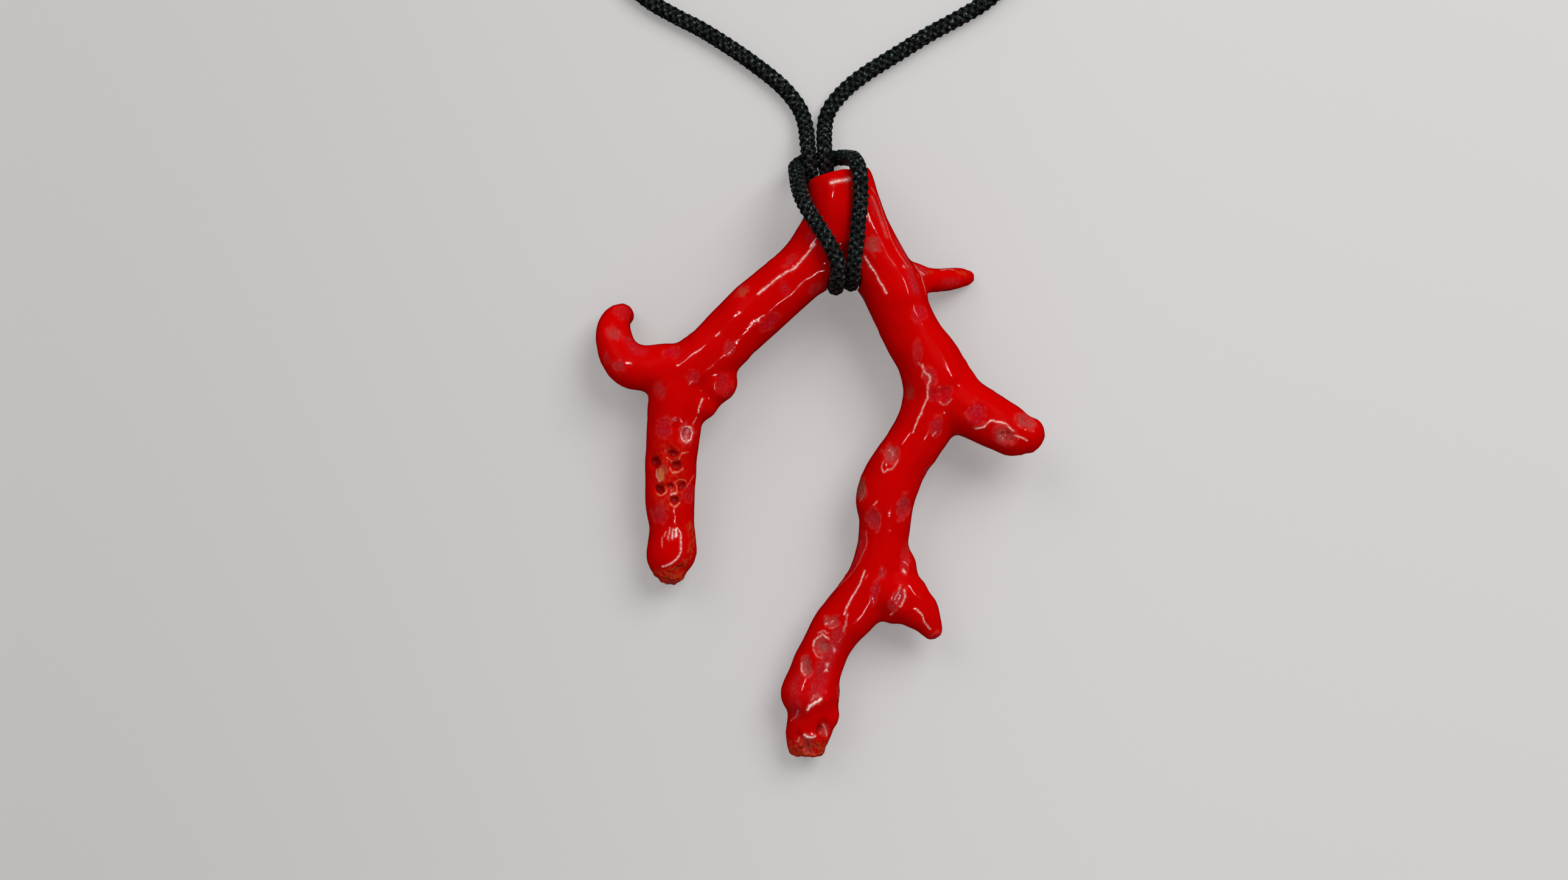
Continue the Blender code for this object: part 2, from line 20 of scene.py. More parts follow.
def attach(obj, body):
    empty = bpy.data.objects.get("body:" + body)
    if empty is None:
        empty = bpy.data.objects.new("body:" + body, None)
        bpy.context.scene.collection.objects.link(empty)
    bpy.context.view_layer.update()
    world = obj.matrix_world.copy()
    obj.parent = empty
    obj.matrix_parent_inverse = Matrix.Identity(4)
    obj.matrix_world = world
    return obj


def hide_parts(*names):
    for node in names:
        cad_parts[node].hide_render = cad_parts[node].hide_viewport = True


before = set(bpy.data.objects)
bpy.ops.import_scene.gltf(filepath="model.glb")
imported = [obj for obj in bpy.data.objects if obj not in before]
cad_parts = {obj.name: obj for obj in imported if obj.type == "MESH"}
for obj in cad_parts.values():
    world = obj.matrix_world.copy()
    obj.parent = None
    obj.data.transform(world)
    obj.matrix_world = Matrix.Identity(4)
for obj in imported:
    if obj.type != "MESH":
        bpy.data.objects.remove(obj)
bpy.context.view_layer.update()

# %% [markdown]
# ## Measures
#
# The tables are in millimetres, because a maker thinks of this piece in millimetres, and Blender works in
# metres, so every measure is multiplied by MM on its way in. The branch was measured on a photograph whose
# pixels are 0.074 mm wide at the height of the branch. A place is read there as a pixel across and a pixel
# down, and a straight line from the camera through it meets the coral where the feature is.

# %% measures
MM = 0.001
PIXEL = 0.074
MIDDLE_PIXEL = (1347.0, 762.5)
BRANCH_HEIGHT = 4.5
CAMERA_PLACE = Vector((-4.37, 2.92, 269.2))
FRAME_MIDDLE = (1288, 723)


def photo_place(across, down):
    """The point, in millimetres, that a pixel shows in the plane at the branch's own height."""
    x = (across - MIDDLE_PIXEL[0]) * PIXEL
    y = (MIDDLE_PIXEL[1] - down) * PIXEL
    return Vector((x, y, BRANCH_HEIGHT))


print("the photograph's middle is at", photo_place(*FRAME_MIDDLE))

# %% [markdown]
# ## Hands
#
# Blender's operators act on whatever is selected, and the plain model is selected when it comes in. So
# everything is let go first, and then the piece in hand is taken up. A modifier is a step that can still be
# changed. Applying it makes its result the real mesh.


# %% hands
def take_up(*objects):
    bpy.ops.object.select_all(action="DESELECT")
    for obj in objects:
        obj.select_set(True)
    bpy.context.view_layer.objects.active = objects[0]


def apply_modifiers(obj):
    take_up(obj)
    for modifier in list(obj.modifiers):
        bpy.ops.object.modifier_apply(modifier=modifier.name)


def triangles(obj):
    return sum(len(face.vertices) - 2 for face in obj.data.polygons)


# %% [markdown]
# ## Camera
#
# The photograph looks straight down on the branch from about a hand's length away. The camera stands over
# the middle of the view, and its lens is chosen so that the view is as wide as the photograph.

# %% camera
LENS, SENSOR_WIDTH = 50, 36
NEAREST = 0.005
bpy.ops.object.camera_add(location=CAMERA_PLACE * MM, rotation=(0, 0, 0))
camera = bpy.context.object
camera.name = "camera"
camera.data.lens = LENS
camera.data.sensor_width = SENSOR_WIDTH
camera.data.clip_start = NEAREST
bpy.context.scene.camera = camera
print("camera at", camera.location[:])

# %% [markdown]
# ## Floor and light
#
# The branch lies on a plain pale surface. Two big soft lights stand beyond the top of the view, the stronger
# one to the right, so the shadows are soft and fall below each limb. Polished stone would show the lights as
# wide white patches, and on the real branch there are only thin bright lines. So the big lights, the floor
# and the room are kept out of reflections, and narrow strips, which are seen in reflections alone, make some
# of the lines. The others are painted highlights in the coral's colour. The strips stand round the branch
# like the sides of a ring light, and each is placed by its direction and its angle above the floor.

# %% floor
FLOOR_SIZE = 3.0
bpy.ops.mesh.primitive_plane_add(size=FLOOR_SIZE)
floor = bpy.context.object
floor.name = "floor"
floor.visible_glossy = False
print("floor, m:", FLOOR_SIZE)

# %% lights
SOFT_LIGHTS = [
    ("soft_right", (0.35, 0.42, 0.6), 0.5, 6.6, (0.98, 1.0, 0.985)),
    ("soft_left", (-0.4, 0.5, 0.6), 0.5, 2.6, (1.0, 0.985, 0.99)),
]
STRIP_DISTANCE, STRIP_WIDTH, STRIP_POWER = 0.5, 0.014, 1.5
STRIP_LIGHTS = [
    ("strip_upper_left", 149, 54, 0.08),
    ("strip_lower_right", -60, 56, 0.07),
    ("strip_right", 21, 40, 0.08),
]


def area_light(name, place, power):
    """A light that stands at the place, in metres, and looks at the branch."""
    aimed = (-Vector(place)).to_track_quat("-Z", "Y").to_euler()
    bpy.ops.object.light_add(type="AREA", location=place, rotation=aimed)
    light = bpy.context.object
    light.name, light.data.energy = name, power
    return light


for name, place, size, power, colour in SOFT_LIGHTS:
    light = area_light(name, place, power)
    light.data.size, light.data.color = size, colour
    light.visible_glossy = False
for name, direction, above, length in STRIP_LIGHTS:
    direction, above = math.radians(direction), math.radians(above)
    out = STRIP_DISTANCE * math.cos(above)
    place = out * math.cos(direction), out * math.sin(direction), STRIP_DISTANCE * math.sin(above)
    light = area_light(name, place, STRIP_POWER * length)
    light.data.shape = "RECTANGLE"
    light.data.size, light.data.size_y = length, STRIP_WIDTH
    light.visible_diffuse = False
print("lights:", len(SOFT_LIGHTS) + len(STRIP_LIGHTS))

# %% room
ROOM_COLOUR = (0.99, 1.0, 1.0, 1.0)
ROOM_STRENGTH = 0.47
world = bpy.data.worlds.new("room")
bpy.context.scene.world = world
world.cycles_visibility.glossy = False
world.use_nodes = True
background = world.node_tree.nodes["Background"]
background.inputs["Color"].default_value = ROOM_COLOUR
background.inputs["Strength"].default_value = ROOM_STRENGTH
bpy.context.scene.view_settings.view_transform = "Standard"
print("room light:", ROOM_STRENGTH)

# %% [markdown]
# ## The cord's route
#
# The cord is one closed loop of black braid. It goes round the stem in a cow hitch: down behind the stem,
# through the fork, up in front, round the back of its own two ends, and down and up again the same way. The
# two ends leave the knot side by side, open out, and run on to the coil of the length that isn't in use.
#
# A few dozen points give the route, and a smooth curve runs through them, as a bead wire would.

# %% the cord's route
CORD = 2.0
KNOT_CORD = 1.96
KNOT_ROUTE = [
    (-1.5, 39.2, 2.7), (-1.35, 38.0, 3.1), (-1.2, 36.8, 3.0), (-1.1, 35.4, 2.6),
    (-0.8, 33.6, 2.35), (-0.2, 31.0, 2.2), (0.6, 28.0, 2.15), (1.3, 25.6, 2.2),
    (1.7, 23.7, 2.6), (1.8, 21.95, 3.9), (1.85, 21.4, 6.0), (1.9, 21.4, 8.4),
    (1.95, 21.95, 10.5), (2.0, 23.3, 11.9), (1.55, 24.9, 12.3), (0.8, 26.4, 12.4),
    (-0.25, 28.1, 12.2), (-1.35, 29.9, 11.6), (-2.2, 31.7, 10.3), (-2.65, 33.4, 8.5),
    (-2.8, 34.7, 6.6), (-2.85, 35.45, 5.0), (-2.9, 35.95, 3.4), (-2.85, 36.35, 2.1),
    (-2.45, 36.85, 1.25), (-1.6, 37.3, 1.0), (-0.3, 37.4, 1.0), (1.1, 37.5, 1.0),
    (2.3, 37.6, 1.5), (3.15, 37.45, 3.0), (3.5, 37.1, 5.2), (3.8, 36.75, 7.6),
    (4.05, 36.25, 9.8), (4.35, 35.3, 11.6), (4.6, 34.15, 12.25), (4.65, 32.4, 12.3),
    (4.6, 30.6, 12.3), (4.4, 28.8, 12.3), (4.25, 27.0, 12.2), (4.05, 25.2, 12.0),
    (3.9, 23.7, 11.5), (3.8, 22.6, 10.2), (3.8, 22.0, 8.4), (3.75, 21.85, 6.0),
    (3.75, 22.3, 3.9), (3.75, 23.8, 2.6), (3.4, 25.6, 2.1), (2.7, 28.0, 1.9),
    (1.85, 31.0, 1.9), (1.25, 33.6, 2.05), (0.9, 35.4, 2.45), (0.75, 36.8, 3.0),
    (0.65, 38.0, 3.1), (0.55, 39.2, 2.7),
]
LEFT_ROUTE = [
    (-1.5, 39.2, 2.7), (-1.65, 41.0, 1.7), (-2.1, 42.9, 1.15), (-3.1, 44.7, 1.05),
    (-5.0, 46.8, 1.05), (-7.9, 49.1, 1.05), (-10.9, 51.2, 1.05), (-14.6, 53.5, 1.05),
    (-17.9, 55.2, 1.05), (-21.4, 57.3, 1.05), (-24.0, 60.0, 1.05), (-25.2, 63.6, 1.05),
    (-24.5, 67.6, 1.05), (-22.0, 71.8, 1.05), (-19.0, 76.0, 1.05), (-16.2, 80.6, 1.05),
]
RIGHT_ROUTE = [
    (0.55, 39.2, 2.7), (0.6, 41.0, 1.7), (0.85, 42.7, 1.15), (1.75, 44.4, 1.05),
    (3.6, 46.4, 1.05), (6.1, 48.3, 1.05), (9.8, 50.6, 1.05), (13.5, 52.9, 1.05),
    (17.2, 54.9, 1.05), (20.6, 57.0, 1.05), (23.4, 59.8, 1.05), (24.8, 63.5, 1.05),
    (24.4, 67.6, 1.05), (22.0, 71.8, 1.05), (19.0, 76.0, 1.05), (16.2, 80.6, 1.05),
]


def lengths(vectors):
    return np.linalg.norm(vectors, axis=1)


def length_of(line):
    return float(lengths(np.diff(line, axis=0)).sum())


print("points:", len(KNOT_ROUTE), len(LEFT_ROUTE), len(RIGHT_ROUTE))

# %% [markdown]
# ## The coil
#
# A necklace cord is long, and most of it isn't seen here. It is put away in a round coil, as a shop would:
# three turns lie flat beside each other, two more lie in the grooves on top, and the last part of a turn
# climbs out over them. The table gives, for the number of turns so far, how far the cord is from the coil's
# middle and how high. Neighbouring turns step in or out over the same part of the circle, so they stay side
# by side.

# %% the coil's route
COIL_MIDDLE = (0.0, 76.5)
COIL_TURNS = 5.421
COIL_TABLE = [
    (0.00, 16.71, 1.05), (0.10, 15.4, 1.05), (0.22, 14.0, 1.05), (0.32, 13.6, 1.0),
    (0.90, 13.6, 1.0), (1.10, 12.7, 1.0), (1.30, 11.5, 1.0), (1.90, 11.5, 1.0),
    (2.10, 10.6, 1.0), (2.30, 9.4, 1.0), (2.84, 9.4, 1.0), (2.98, 9.4, 1.7),
    (3.12, 9.45, 2.7), (3.25, 10.0, 2.9), (3.40, 10.4, 2.75), (3.80, 10.45, 2.75),
    (4.00, 11.4, 3.0), (4.20, 12.4, 2.85), (4.30, 12.5, 2.75), (4.80, 12.55, 2.75),
    (5.00, 13.5, 3.05), (5.12, 14.4, 3.0), (5.22, 15.3, 2.5), (5.32, 16.2, 1.5),
    (COIL_TURNS, 16.71, 1.05),
]
COIL_POINTS_A_TURN = 24


def coil_route():
    """The coil's points, from the left strand's end clockwise to the right strand's end."""
    turns, reach, height = np.array(COIL_TABLE).T
    at = np.linspace(0, COIL_TURNS, round(COIL_TURNS * COIL_POINTS_A_TURN) + 1)
    first = math.atan2(LEFT_ROUTE[-1][1] - COIL_MIDDLE[1], LEFT_ROUTE[-1][0])
    angle = first - at * math.tau
    radius = np.interp(at, turns, reach)
    x = COIL_MIDDLE[0] + radius * np.cos(angle)
    y = COIL_MIDDLE[1] + radius * np.sin(angle)
    return np.stack([x, y, np.interp(at, turns, height)], axis=1)


COIL_ROUTE = [tuple(point) for point in coil_route()]
print("coil, mm:", round(length_of(COIL_ROUTE), 1))

# %% [markdown]
# Both ends of every stretch meet the next one, so the whole route is one closed line. It starts where the
# knot does, goes through the knot, up the right strand, back through the coil and down the left strand. The
# curve through the points needs a point on either side of each stretch, and on a loop there always is one.
# Stretches that the photograph shows get more rings than the coil does.

# %% one closed line
KNOT_STEP, RUN_STEP, COIL_STEP = 0.1, 0.12, 0.19
STRETCHES = [
    (KNOT_ROUTE, KNOT_STEP),
    (RIGHT_ROUTE, RUN_STEP),
    (COIL_ROUTE[::-1], COIL_STEP),
    (LEFT_ROUTE[::-1], RUN_STEP),
]


def closed_line(stretches):
    """Points along a smooth closed curve, and the number of the point where each stretch starts."""
    points = [np.array(p) for route, _ in stretches for p in route[:-1]]
    steps = [step for route, step in stretches for _ in route[:-1]]
    line, starts = [], []
    for i, step in enumerate(steps):
        a, b, c, d = (points[(i + k) % len(points)] for k in (-1, 0, 1, 2))
        starts.append(len(line))
        pieces = max(1, round(np.linalg.norm(c - b) / step))
        for t in np.arange(pieces) / pieces:
            line.append(
                0.5 * (2 * b + (c - a) * t + (2 * a - 5 * b + 4 * c - d) * t**2)
                + 0.5 * (3 * b - a - 3 * c + d) * t**3
            )
    counts = np.cumsum([0] + [len(route) - 1 for route, _ in stretches[:-1]])
    return np.array([*line, line[0]]), [starts[i] for i in counts]


cord_line, stretch_starts = closed_line(STRETCHES)
cord_reach = np.concatenate([[0], np.cumsum(lengths(np.diff(cord_line, axis=0)))])
print("rings:", len(cord_line), "cord, mm:", round(cord_reach[-1], 1))

# %% [markdown]
# ## The braid
#
# Eight strands make the cord. Four wind round it one way and four the other way, and each goes over one and
# under the next. Modelling eight strands as tubes would hide most of their surface inside. So the cord is
# one tube, and its skin is pushed in and out by the height that the upper strand has there.
#
# Counting strands makes this easy. At any place on the tube, `a` says how many strands of the first family
# have been passed and `b` does the same for the second. Half-way between whole numbers there is a groove,
# and a cosine lifts a strand where it goes over and sinks it where it goes under. The loop is closed, so
# the count along it is made a whole number and the braid meets itself.

# %% the height of the braid
STRANDS_EACH_WAY = 4
BRAID_PITCH = 0.95
STRAND_CROWN = 0.30
STRAND_LIFT = 0.10
STRAND_NARROWNESS = 2.4
ROOT = 0.64
FAMILY_EDGE = 12


def braid_height(around, along):
    """How far the skin is from the middle, as a part of the cord's radius, and which family is on top."""
    a = STRANDS_EACH_WAY * around + along
    b = STRANDS_EACH_WAY * around - along
    heights = []
    for own, other, side in ((a, b, 1), (b, a, -1)):
        near = np.round(own)
        crown = np.sqrt(np.clip(1 - (STRAND_NARROWNESS * (own - near)) ** 2, 0, 1))
        over = side * np.cos(math.pi * (other + near))
        heights.append(STRAND_CROWN * crown + STRAND_LIFT * over)
    family = np.clip((heights[0] - heights[1]) * FAMILY_EDGE, -1, 1)
    return ROOT + np.maximum(*heights), family


print("strands:", 2 * STRANDS_EACH_WAY)

# %% [markdown]
# The tube is built ring by ring. Each ring stands square to the line, on two directions that are carried
# along it without a twist, so the braid doesn't turn where the cord bends.


# %% a braided tube
def frames_along(line):
    """For each point, two unit vectors across the line that don't twist about it."""
    ahead = np.gradient(line, axis=0)
    ahead /= lengths(ahead)[:, None]
    side = np.cross(ahead[0], (0.0, 0.0, 1.0))
    sides = []
    for way in ahead:
        side = side - way * side.dot(way)
        side /= np.linalg.norm(side)
        sides.append(side)
    return np.array(sides), np.cross(ahead, sides)


def braided_tube(name, line, along, twist, diameters, across, sides):
    """A closed tube with the braid in its skin. Its UV map counts strands round it, crossings along it."""
    first, second = across
    count = np.arange(sides + 1) / sides
    angle = math.tau * count[None, :] + twist[:, None]
    height, family = braid_height(count[None, :], along[:, None])
    radius = height * diameters[:, None] / 2
    skin = line[:, None, :] + radius[..., None] * (
        np.cos(angle)[..., None] * first[:, None, :] + np.sin(angle)[..., None] * second[:, None, :]
    )
    rings = len(line)
    row, column = np.meshgrid(np.arange(rings - 1), np.arange(sides), indexing="ij")
    this_ring, next_ring, following = row * sides, (row + 1) * sides, (column + 1) % sides
    quads = [this_ring + column, this_ring + following, next_ring + following, next_ring + column]
    quads = np.stack(quads, axis=-1).reshape(-1, 4)
    ends = [list(range(sides))[::-1], [(rings - 1) * sides + i for i in range(sides)]]
    mesh = bpy.data.meshes.new(name)
    mesh.from_pydata((skin[:, :sides].reshape(-1, 3) * MM).tolist(), [], [*quads.tolist(), *ends])
    mesh.shade_smooth()
    round_it = np.stack([column, column + 1, column + 1, column], axis=-1) * STRANDS_EACH_WAY / sides
    along_it = np.stack([along[row], along[row], along[row + 1], along[row + 1]], axis=-1)
    corners = np.stack([round_it, along_it], axis=-1).reshape(-1, 2)
    corners = np.concatenate([corners, np.zeros((2 * sides, 2))])
    mesh.uv_layers.new(name="strands").data.foreach_set("uv", corners.astype(np.float32).ravel())
    for mark, values in (("family", family), ("height", height)):
        made = mesh.attributes.new(mark, "FLOAT", "POINT")
        made.data.foreach_set("value", values[:, :sides].astype(np.float32).ravel())
    obj = bpy.data.objects.new(name, mesh)
    bpy.context.collection.objects.link(obj)
    return obj


first_sides, second_sides = frames_along(cord_line)
print("rings with directions:", len(first_sides))

# %% [markdown]
# The knot is pulled tight, so its cord is a little thinner than the rest, and it swells to its full
# thickness just past the knot. Both pieces are cut from the one closed line. A frame that is carried once
# round the loop comes back turned, so that turn is let out evenly on the way and the ends match.

# %% knot and necklace
SWELL = 4.0
KNOT_SIDES, NECKLACE_SIDES = 44, 32
knot_end = stretch_starts[1]
crossings = round(cord_reach[-1] / BRAID_PITCH)
cord_along = cord_reach * crossings / cord_reach[-1]
miss = math.atan2(first_sides[-1].dot(second_sides[0]), first_sides[-1].dot(first_sides[0]))
cord_twist = -miss * cord_reach / cord_reach[-1]
past_knot = np.minimum(cord_reach - cord_reach[knot_end], cord_reach[-1] - cord_reach)
cord_diameters = KNOT_CORD + (CORD - KNOT_CORD) * np.clip(past_knot / SWELL, 0, 1)
print("crossings:", crossings, "twist let out, degrees:", round(math.degrees(miss), 1))
pieces = []
for name, rings, sides in (
    ("cord_knot", slice(0, knot_end + 1), KNOT_SIDES),
    ("necklace_cord", slice(knot_end, None), NECKLACE_SIDES),
):
    across = first_sides[rings], second_sides[rings]
    place = cord_line[rings], cord_along[rings], cord_twist[rings], cord_diameters[rings]
    pieces.append(braided_tube(name, *place, across, sides))
cord_knot, necklace_cord = pieces
for piece in pieces:
    print(piece.name, "triangles:", triangles(piece))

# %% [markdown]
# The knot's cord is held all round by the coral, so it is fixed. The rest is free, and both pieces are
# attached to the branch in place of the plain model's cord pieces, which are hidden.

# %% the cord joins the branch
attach(cord_knot, "root")
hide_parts("cord_hitch")
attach(necklace_cord, "root")
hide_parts("cord_left_run", "cord_right_run", "cord_coil")

# %% [markdown]
# ## The coral's skin
#
# The plain model is parted at its forks and has flat faces a millimetre wide. The real branch is one piece
# and smooth. So the parts are copied, swollen a little until they touch, and covered with one new skin of
# small squares, a voxel remesh. Then the skin is drawn back in by as much as it was swollen.
#
# Smoothing takes away the flat faces, and it would also shrink the thin tips. Pairs of steps prevent that:
# each smoothing is followed by a slightly stronger step the other way, which brings back everything that
# is larger than a few squares. The sawn end of the stem, the lower tip and the backs of two forks get one
# smoothing without such a step, because they are ground round, and so do two spots on the right prong.

# %% the parts joined
SAME_POINT = 0.001
copies = []
for name in sorted(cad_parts):
    if name.startswith("coral"):
        copy = bpy.data.objects.new(name + "_copy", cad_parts[name].data.copy())
        copy.data.materials.clear()
        bpy.context.collection.objects.link(copy)
        copies.append(copy)
take_up(*copies)
bpy.ops.object.join()
coral = bpy.context.object
coral.name = coral.data.name = "coral_branch"
bpy.ops.object.mode_set(mode="EDIT")
bpy.ops.mesh.select_all(action="SELECT")
bpy.ops.mesh.remove_doubles(threshold=SAME_POINT * MM)
bpy.ops.object.mode_set(mode="OBJECT")
print("parts joined:", len(copies))

# %% one skin over the parts
SWELL_TO_CLOSE = 0.2
SQUARE = 0.33
SMOOTH_IN, SMOOTH_OUT = 0.5, -0.52
SMOOTH_PAIRS, SMOOTH_STEPS = 4, 6


def smooth_in_pairs(obj, pairs, steps):
    for factor in (SMOOTH_IN, SMOOTH_OUT) * pairs:
        smooth = obj.modifiers.new("smooth", "SMOOTH")
        smooth.factor, smooth.iterations = factor, steps
    apply_modifiers(obj)


swell = coral.modifiers.new("swell", "DISPLACE")
swell.mid_level = 0
swell.strength = SWELL_TO_CLOSE * MM
skin = coral.modifiers.new("skin", "REMESH")
skin.mode = "VOXEL"
skin.voxel_size = SQUARE * MM
draw_in = coral.modifiers.new("draw in", "DISPLACE")
draw_in.mid_level = 0
draw_in.strength = -SWELL_TO_CLOSE * MM
smooth_in_pairs(coral, SMOOTH_PAIRS, SMOOTH_STEPS)
print("skin triangles:", triangles(coral))

# %% ground round
SAWN_END, LOWER_END = 32.6, -33.0
SOFT_SPOTS = [
    ((18.6, 11.1, 4.5), 2.4),
    ((11.3, -11.3, 4.0), 2.2),
    ((24.6, 6.6, 5.5), 1.7),
    ((23.6, 0.8, 5.5), 1.7),
]
ROUNDING_STEPS = 22


def ground_round(place):
    at_an_end = place.y > SAWN_END * MM or place.y < LOWER_END * MM
    return at_an_end or any((place - Vector(spot) * MM).length < reach * MM for spot, reach in SOFT_SPOTS)


rounded = coral.vertex_groups.new(name="rounded")
rounded.add([vertex.index for vertex in coral.data.vertices if ground_round(vertex.co)], 1.0, "REPLACE")
rounding = coral.modifiers.new("grind round", "SMOOTH")
rounding.factor, rounding.iterations, rounding.vertex_group = SMOOTH_IN, ROUNDING_STEPS, rounded.name
apply_modifiers(coral)
coral.vertex_groups.clear()
coral.data.shade_smooth()
print("skin, mm:", [round(v / MM, 2) for v in coral.dimensions])

# %% [markdown]
# ## Scars
#
# Every polyp of the living coral sat in a small cup, and the cups remain as oval scars: shallow dishes with
# a soft rim, less polished than the rest, hazy and mauve or grey. The table lists those that the photograph
# shows, by the pixel of the middle, the half width and half height in pixels, the turn in degrees, how clear
# the scar is, and its tint from purple through mauve, grey and olive to yellow.

# %% scars read off the photograph
SCARS = [
    (1022, 513, 13, 11, 0, 0.4, 0.3),
    (1009, 548, 14, 10, -30, 0.55, 0.55),
    (1017, 602, 10, 9, 0, 0.75, 0.45),
    (997, 590, 5, 9, 0, 0.45, 0.4),
    (1104, 579, 13, 9, 15, 0.45, 0.12),
    (1138, 618, 9, 9, 0, 0.5, 0.2),
    (1085, 641, 10, 12, 0, 0.4, 0.4),
    (1189, 634, 13, 16, 0, 0.4, 0.3),
    (1198, 571, 8, 13, -20, 0.6, 0.4),
    (1091, 703, 11, 17, -10, 0.65, 0.2),
    (1127, 714, 10, 14, 0, 1.0, 0.3),
    (1125, 723, 4, 4, 0, 1.0, 1.0),
    (1220, 480, 10, 8, 40, 0.5, 0.85),
    (1289, 475, 7, 10, 0, 0.4, 0.1),
    (1299, 428, 13, 6, 40, 0.45, 0.35),
    (1333, 389, 10, 7, 40, 0.4, 0.15),
    (1265, 528, 17, 9, 40, 0.5, 0.12),
    (1340, 475, 14, 7, 35, 0.35, 0.5),
    (1436, 403, 11, 14, 0, 0.7, 0.6),
    # This long scar on the stem's right flank is partly painted reflection of the pale floor.
    (1440, 345, 7, 22, 25, 0.3, 0.25),
    (1511, 515, 11, 14, 0, 0.45, 0.15),
    (1507, 578, 7, 18, 0, 0.4, 0.4),
    (1528, 620, 9, 15, 0, 0.7, 0.3),
    (1533, 651, 8, 10, 0, 0.4, 0.1),
    (1554, 648, 10, 14, 0, 0.45, 0.12),
    (1494, 645, 7, 14, 0, 0.4, 0.75),
    (1537, 701, 9, 16, -10, 0.6, 0.25),
    (1604, 680, 14, 18, 0, 0.6, 0.15),
    (1685, 692, 17, 11, -30, 0.85, 0.55),
    (1650, 716, 17, 13, -30, 0.85, 0.6),
    (1464, 747, 12, 15, -10, 0.85, 0.55),
    (1416, 804, 7, 20, 0, 0.9, 0.8),
    (1484, 834, 10, 19, -5, 0.8, 0.36),
    (1434, 854, 11, 17, 8, 0.8, 0.33),
    (1487, 918, 7, 22, -5, 0.5, 0.35),
    (1449, 942, 6, 9, 0, 0.7, 0.35),
    (1437, 973, 6, 20, -15, 0.55, 0.15),
    (1473, 985, 8, 20, -30, 0.75, 0.35),
    (1366, 1021, 13, 10, 20, 0.9, 0.7),
    (1350, 1061, 12, 16, 0, 1.0, 0.6),
    (1325, 1094, 9, 16, 0, 0.95, 0.6),
    (1131, 810, 9, 14, 0, 0.45, 0.3),
    (1083, 843, 11, 17, 0, 0.55, 0.35),
    (1086, 780, 7, 13, -10, 0.9, 1.0),
    (1091, 770, 7, 8, 0, 0.6, 0.82),
    (1096, 740, 6, 6, 0, 0.2, 0.75),
    (1325, 1222, 11, 15, 0, 0.4, 0.7),
    (1354, 1199, 7, 11, 10, 0.7, 0.45),
]
BORES = [
    (1106, 746, 9, 7, 0, 0.32),
    (1077, 760, 9, 10, -20, 0.34),
    (1112, 766, 9, 8, 20, 0.34),
    (1084, 805, 9, 7, -30, 0.32),
    (1101, 799, 7, 5, 20, 0.25),
    (1121, 799, 6, 10, -30, 0.3),
    (1109, 823, 7, 7, 0, 0.34),
    (1110, 697, 9, 9, 0, 0.12),
    (1345, 1198, 4, 9, -10, 0.3),
    (1646, 713, 3, 3, 0, 0.15),
    (1655, 712, 3, 3, 0, 0.15),
    (1652, 721, 3, 3, 0, 0.15),
    (1660, 722, 3, 3, 0, 0.15),
]
